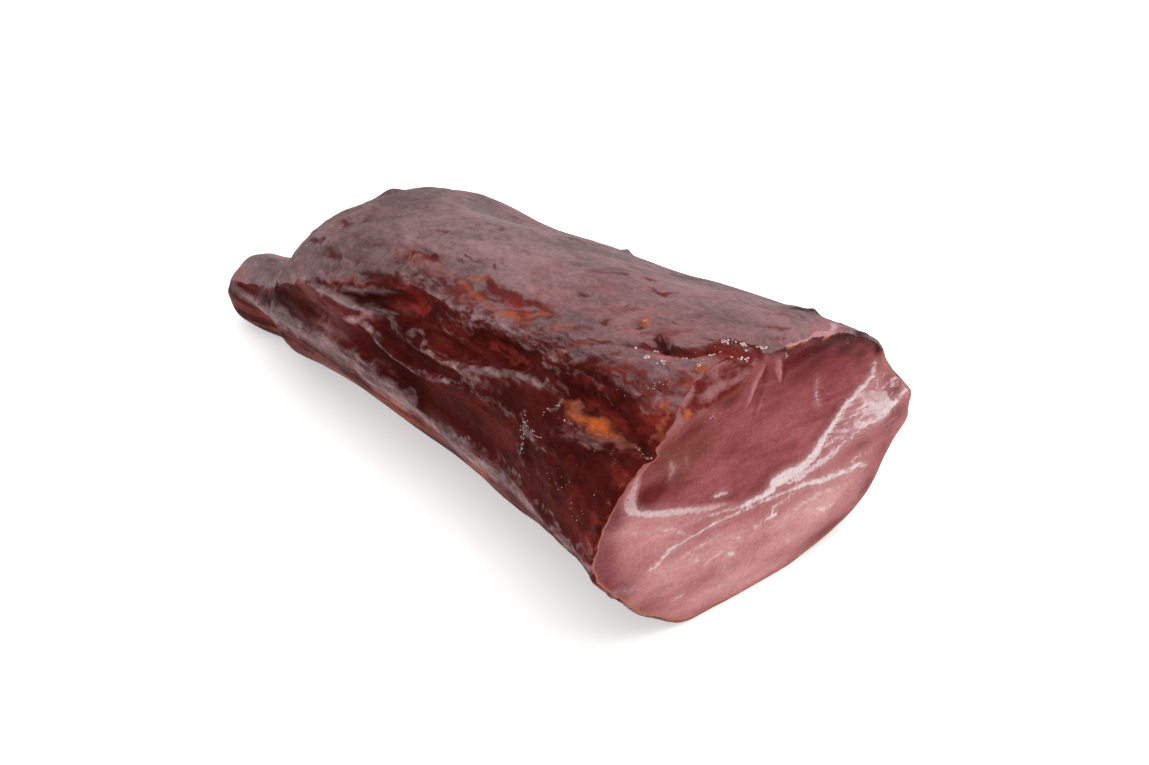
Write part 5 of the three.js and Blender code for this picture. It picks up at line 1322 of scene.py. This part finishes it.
def bead_places(spots, seed):
    """Places of the beads: each spot's count of points spread over its tilted ellipse. Gives x, angle and the
    three radii of each bead in millimetres, drawn between the smallest and the largest of the spot."""
    draw = np.random.default_rng(seed)
    rows = np.repeat(np.array(spots, float), [spot[2] for spot in spots], axis=0)
    x, angle, _, length, width, tilt, radius, longer = rows.T
    share, around = np.sqrt(draw.random(len(rows))), draw.random(len(rows)) * 2 * math.pi
    u, v = share * np.cos(around) * length, share * np.sin(around) * width
    cos, sin = np.cos(np.radians(tilt)), np.sin(np.radians(tilt))
    radius = radius * (SMALLEST_BEAD + (1 - SMALLEST_BEAD) * draw.random(len(rows)))
    radii = np.stack([radius * longer, radius, radius * BEAD_HEIGHT], -1)
    return np.minimum(x + u * cos - v * sin, CUT_X - CLEAR_OF_CUT), angle + u * sin + v * cos, radii


def egg_shapes(centres, radii, rings=5, around=8):
    """Many small closed eggs: rings of latitude on an ellipsoid of the three radii, with a pole at each end.
    Gives all points, and the faces as lists, turned outwards."""
    up = np.linspace(0, math.pi, rings + 2)[1:-1]
    turned = np.arange(around) * 2 * math.pi / around
    row = np.stack([np.sin(up)[:, None] * np.cos(turned), np.sin(up)[:, None] * np.sin(turned),
                    np.cos(up)[:, None] + 0 * turned], -1).reshape(-1, 3)
    unit = np.concatenate([row, [[0, 0, 1], [0, 0, -1]]])
    points = centres[:, None] + radii[:, None] * unit
    parts = [np.roll(part[:, ::-1], 1, axis=1) for part in ring_faces(rings, around)]
    shift = np.arange(len(centres))[:, None, None] * len(unit)
    faces = [face for part in parts for face in (part + shift).reshape(-1, part.shape[1]).tolist()]
    return points.reshape(-1, 3), faces


def srgb(*channels):
    """A colour given from 0 to 255 as a screen shows it, as the linear light that a shader takes."""
    share = np.array(channels) / 255
    return tuple(np.where(share <= 0.04045, share / 12.92, ((share + 0.055) / 1.055) ** 2.4).tolist())


def tone(name, description, *channels):
    """A colour that a user may change."""
    return bpy.props.FloatVectorProperty(name=name, description=description, default=srgb(*channels),
                                         subtype="COLOR", min=0, max=1)


def amount(name, description, default=1.0, high=2.0):
    """A share or strength that a user may change."""
    return bpy.props.FloatProperty(name=name, description=description, default=default, min=0, max=high,
                                   subtype="FACTOR")


class NeckShape(bpy.types.PropertyGroup):
    around: bpy.props.IntProperty(
        name="Points around", description="Points in each ring of the skin", default=300, min=60, max=300)
    ring_gap: bpy.props.FloatProperty(
        name="Ring gap", description="Distance between rings along the skin", default=0.00105,
        min=0.001, max=0.01, unit="LENGTH")
    cut_rings: bpy.props.IntProperty(
        name="Rings of the cut", description="Rings from the rim to the middle of the cut", default=56,
        min=8, max=60)
    fold_depth: amount("Fold depth", "Depth of the folds, as a share of what was measured", high=1.2)
    cord_height: amount("Cord height", "Height of the cords and wrinkles, as a share of what was measured",
                        high=1.5)
    grain: amount("Grain", "Strength of the fibres and dimples of the skin")


class SkinTones(bpy.types.PropertyGroup):
    dark: tone("Dark meat", "Darkest smoked lean meat", 62, 15, 12)
    smoked: tone("Smoked meat", "Smoked lean meat", 84, 24, 20)
    stain: tone("Stains", "Lean meat where the film is missing", 104, 32, 27)
    glow: tone("Glow", "Wet lean meat that light shines through", 128, 38, 28)
    lean: tone("Thin film", "Lean meat under thin film", 96, 36, 31)
    # The film tones are partly the dried film's own colours and partly painted sheen.
    film: tone("Film", "Pale dried film on the skin", 128, 108, 110)
    pink_film: tone("Pink film", "Film over paler meat", 132, 101, 103)
    grey_film: tone("Grey film", "Greyest film on the top", 134, 120, 124)
    brown_film: tone("Brown spots", "Thin brown spots of the film", 110, 76, 74)
    warm_film: tone("Warm film", "Film over the near end of the top", 127, 90, 90)
    # Veils are pale partly as painted sheen.
    veil: tone("Veil", "Film and cords on the dark side", 138, 114, 115)
    # Painted highlight on the crowns of the cords, also a painted sheen on the veils of the foot.
    cord_sheen: tone("Cords", "Crowns of the cords", 164, 144, 145)
    pink: tone("Pink", "Pink places of the skin", 156, 98, 100)
    ochre: tone("Ochre", "Fat and skin browned to orange", 148, 77, 50)
    amber: tone("Amber", "The most browned fat", 176, 82, 36)
    # Scorched crust, also painted shade in the folds.
    burnt: tone("Scorched", "Scorched places", 40, 16, 14)
    # Painted glints that stand in for highlights.
    glint: tone("Glints", "Specks of wet fat that catch the light", 216, 196, 198)


class CutTones(bpy.types.PropertyGroup):
    upper: tone("Upper muscle", "Dark upper muscle", 124, 58, 61)
    upper_light: tone("Upper muscle, lighter", "Lighter places of the upper muscle", 150, 84, 86)
    lower: tone("Lower muscle", "Pale lower muscle", 152, 88, 90)
    lower_light: tone("Lower muscle, lighter", "Lightest places of the lower muscle", 194, 145, 142)
    # Painted shade on the edges of the lower muscle.
    dull: tone("Dull edge", "Duller edges of the lower muscle", 112, 58, 62)
    olive: tone("Olive", "Browned sheen at the upper left", 110, 54, 44)
    fat: tone("Fat", "Seams, blocks and specks of fat", 212, 194, 195)
    marbled: tone("Marbled corner", "Lean meat between fine streaks of fat", 166, 106, 108)
    ridge: tone("Ridges", "Pale ridges of the upper muscle", 172, 110, 113)
    # Dried deep red meat, also painted shade under the rim and at the edges.
    shady: tone("Dark places", "Dried deep red places of the cut", 84, 12, 17)
    rind: tone("Rind", "Thin browned edge of the cut", 164, 104, 82)
    sheen: tone("Sheen", "Pale sheen on the upper muscle", 176, 124, 104)
    orange: tone("Orange fat", "Fat browned to orange at the upper edge", 170, 88, 48)
    browned: tone("Browned edge", "Where the crust over the cut begins", 122, 62, 48)
    rolled_film: tone("Rolled film", "Film on the crust over the cut", 146, 96, 97)
    peeled: tone("Hanging film", "Pink film that hangs over the upper right", 178, 128, 132)
    crust: tone("Rolled crust", "Crust rolled over the upper left of the cut", 98, 28, 23)
    smoked: tone("Smoked streaks", "Darkest streaks of the rolled crust", 78, 22, 18)
    # Charred meat, also painted shade below the overhanging rim at the upper right.
    char: tone("Charred crust", "Charred meat at the upper right", 60, 20, 18)
    ash: tone("Ash", "Grey mottles of the charred meat", 100, 72, 72)


class BeadLook(bpy.types.PropertyGroup):
    # The beads' pale colours are partly their own and partly painted glints.
    bead: tone("Bead", "Beads of set fat", 196, 150, 142)
    bead_pale: tone("Pale bead", "Palest beads", 222, 202, 200)
    size: amount("Size", "Size of the beads, as a share of what was measured", high=1.5)
    seed: bpy.props.IntProperty(name="Seed", description="Start of the random places of the beads", default=4)


class StageLook(bpy.types.PropertyGroup):
    floor: tone("Floor", "Colour of the floor", 244, 244, 244)
    floor_size: bpy.props.FloatProperty(
        name="Floor size", description="Side of the square floor", default=8, min=1, unit="LENGTH")
    floor_light: amount("Light from below", "Brightness of the light that the floor gives off", 0.5)
    key: bpy.props.FloatProperty(
        name="Key light", description="Power of the soft light over the cut", default=3, min=0, unit="POWER")
    above: bpy.props.FloatProperty(
        name="Light above", description="Power of the wide light above", default=11, min=0, unit="POWER")
    sky: amount("Surroundings", "Brightness all round", 0.75)
    azimuth: bpy.props.FloatProperty(
        name="Camera azimuth", description="Turn of the camera round the meat", default=math.radians(49),
        subtype="ANGLE")
    elevation: bpy.props.FloatProperty(
        name="Camera elevation", description="Height of the camera over the floor, as an angle",
        default=math.radians(31), subtype="ANGLE")
    distance: bpy.props.FloatProperty(
        name="Camera distance", description="From the camera to what it looks at", default=0.62, min=0.1,
        unit="LENGTH")
    lens: bpy.props.FloatProperty(
        name="Lens", description="Focal length", default=57.34, min=10, unit="CAMERA")


class NECK_OT_meat(bpy.types.Operator):
    """Build the meat: its smoked skin and the cut, one closed piece"""
    bl_idname = "neck.meat"
    bl_label = "Meat"

    def execute(self, context):
        shape = context.scene.neck_shape
        angle = even_angles(shape.around)
        inner = np.linspace(EVEN_FROM, RUN_END - EDGE_ROUND,
                            round((RUN_END - EVEN_FROM) * MM / shape.ring_gap))
        run = np.concatenate([TIP_RUNS, inner, RUN_END - EDGE_ROUND * EDGE_STEPS])
        skin, x, angles, sunk, crest = skin_grid(run, angle, shape.fold_depth, shape.cord_height, shape.grain)
        shares = 1 - np.arange(1, shape.cut_rings) / shape.cut_rings
        cut, cut_values = cut_grid(skin[-1], shares)
        points = np.concatenate([skin, cut]) - FOOTPRINT_MIDDLE
        mesh = closed_mesh("smoked_pork_neck_meat", points,
                           [crust_material(context.scene.neck_skin), cut_material(context.scene.neck_cut)],
                           len(run) - 1)

        # Every point carries all values: the cut those of the skin at the rim, and the skin those of the cut.
        values = {"crest": crest, "sunk": sunk, **skin_fields(skin, x, angles)}
        for name, rows in values.items():
            carry(mesh, name, np.concatenate([rows, np.repeat(rows[-1:], len(shares), axis=0)]))
        edge = cut_fields(skin[-1:, :, 1], skin[-1:, :, 2], 0 * skin[-1:, :, 0])
        for name, rows in cut_values.items():
            carry(mesh, name, np.concatenate([np.repeat(edge[name], len(run), axis=0), rows]))
        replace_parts(add_piece("smoked_pork_neck_meat", mesh), NODE)
        return {"FINISHED"}


class NECK_OT_beads(bpy.types.Operator):
    """Set the small beads of fat on the skin"""
    bl_idname = "neck.beads"
    bl_label = "Beads of fat"

    def execute(self, context):
        shape, look = context.scene.neck_shape, context.scene.neck_beads
        x, angle, radii = bead_places(BEADS, look.seed)

        # Where beads lie, run and x differ by a constant. The grid has every run with every angle, so the
        # beads' own places are on its diagonal.
        grid = skin_grid(x + RUN_END - CUT_X, angle, shape.fold_depth, shape.cord_height, shape.grain)[0]
        places = grid[np.arange(len(x)), np.arange(len(x))] - FOOTPRINT_MIDDLE
        points, faces = egg_shapes(places, radii * look.size)
        mesh = bpy.data.meshes.new("fat_beads")
        mesh.from_pydata(points * MM, [], faces)
        mesh.polygons.foreach_set("use_smooth", np.ones(len(faces), bool))
        mesh.materials.append(bead_material(look))
        add_piece("fat_beads", mesh)
        return {"FINISHED"}


class NECK_OT_stage(bpy.types.Operator):
    """Lay the pale floor, hang the soft lights and set the camera"""
    bl_idname = "neck.stage"
    bl_label = "Stage"

    def execute(self, context):
        look, scene = context.scene.neck_stage, context.scene
        scene.view_settings.view_transform = "Standard"
        half = look.floor_size / 2
        mesh = bpy.data.meshes.new("floor")
        corners = [(-half, -half), (half, -half), (half, half), (-half, half)]
        mesh.from_pydata([(*corner, FLOOR_Z) for corner in corners], [], [(0, 1, 2, 3)])
        nodes = Nodes("pale floor")
        shader = nodes.add("ShaderNodeBsdfPrincipled", None, {
            "Base Color": rgba(look.floor), "Roughness": 0.7, "Specular IOR Level": 0.2,
            "Emission Color": rgba(look.floor), "Emission Strength": look.floor_light})
        nodes.add("ShaderNodeOutputMaterial", None, {"Surface": shader.outputs[0]})
        mesh.materials.append(nodes.material)
        floor = bpy.data.objects.new("floor", mesh)
        scene.collection.objects.link(floor)

        scene.world = bpy.data.worlds.new("surroundings")
        scene.world.use_nodes = True
        sky = scene.world.node_tree.nodes["Background"]
        sky.inputs["Color"].default_value = (1, 1, 1, 1)
        sky.inputs["Strength"].default_value = look.sky
        for name, (size, place) in LAMPS.items():
            light = bpy.data.lights.new(name, "AREA")
            light.energy, light.size = getattr(look, name), size
            lamp = bpy.data.objects.new(name, light)
            lamp.location = place
            lamp.rotation_euler = Vector(place).to_track_quat("Z", "Y").to_euler()
            scene.collection.objects.link(lamp)

        camera = bpy.data.cameras.new("camera")
        camera.lens, camera.sensor_width, camera.clip_start = look.lens, SENSOR, 0.01
        eye = bpy.data.objects.new("camera", camera)
        back = Vector((math.sin(look.azimuth) * math.cos(look.elevation),
                       -math.cos(look.azimuth) * math.cos(look.elevation), math.sin(look.elevation)))
        aim = Vector(np.subtract(AIM, FOOTPRINT_MIDDLE)) * MM
        eye.location = aim + back * look.distance
        eye.rotation_euler = back.to_track_quat("Z", "Y").to_euler()
        scene.collection.objects.link(eye)
        scene.camera = eye
        return {"FINISHED"}


class NECK_PT_panel(bpy.types.Panel):
    """The pieces of the smoked pork neck, with their sizes and colours"""
    bl_idname = "NECK_PT_panel"
    bl_label = "Smoked pork neck"
    bl_space_type = "VIEW_3D"
    bl_region_type = "UI"
    bl_category = "Pork neck"

    def draw(self, context):
        for title, groups, operator in PIECES:
            box = self.layout.box()
            box.label(text=title)
            for group in groups:
                settings = getattr(context.scene, group)
                for name in settings.__annotations__:
                    box.prop(settings, name)
            box.operator(operator)


PIECES = [("Meat", ("neck_shape", "neck_skin", "neck_cut"), "neck.meat"),
          ("Beads of fat", ("neck_beads",), "neck.beads"),
          ("Stage", ("neck_stage",), "neck.stage")]
GROUPS = {"neck_shape": NeckShape, "neck_skin": SkinTones, "neck_cut": CutTones, "neck_beads": BeadLook,
          "neck_stage": StageLook}
CLASSES = (*GROUPS.values(), NECK_OT_meat, NECK_OT_beads, NECK_OT_stage, NECK_PT_panel)


def register():
    for cls in CLASSES:
        bpy.utils.register_class(cls)
    for name, group in GROUPS.items():
        setattr(bpy.types.Scene, name, bpy.props.PointerProperty(type=group))


def unregister():
    for name in GROUPS:
        delattr(bpy.types.Scene, name)
    for cls in reversed(CLASSES):
        bpy.utils.unregister_class(cls)


def main():
    """Builds each piece and the stage."""
    register()
    for _, _, operator in PIECES:
        area, name = operator.split(".")
        getattr(getattr(bpy.ops, area), name)()


if __name__ == "__main__":
    main()
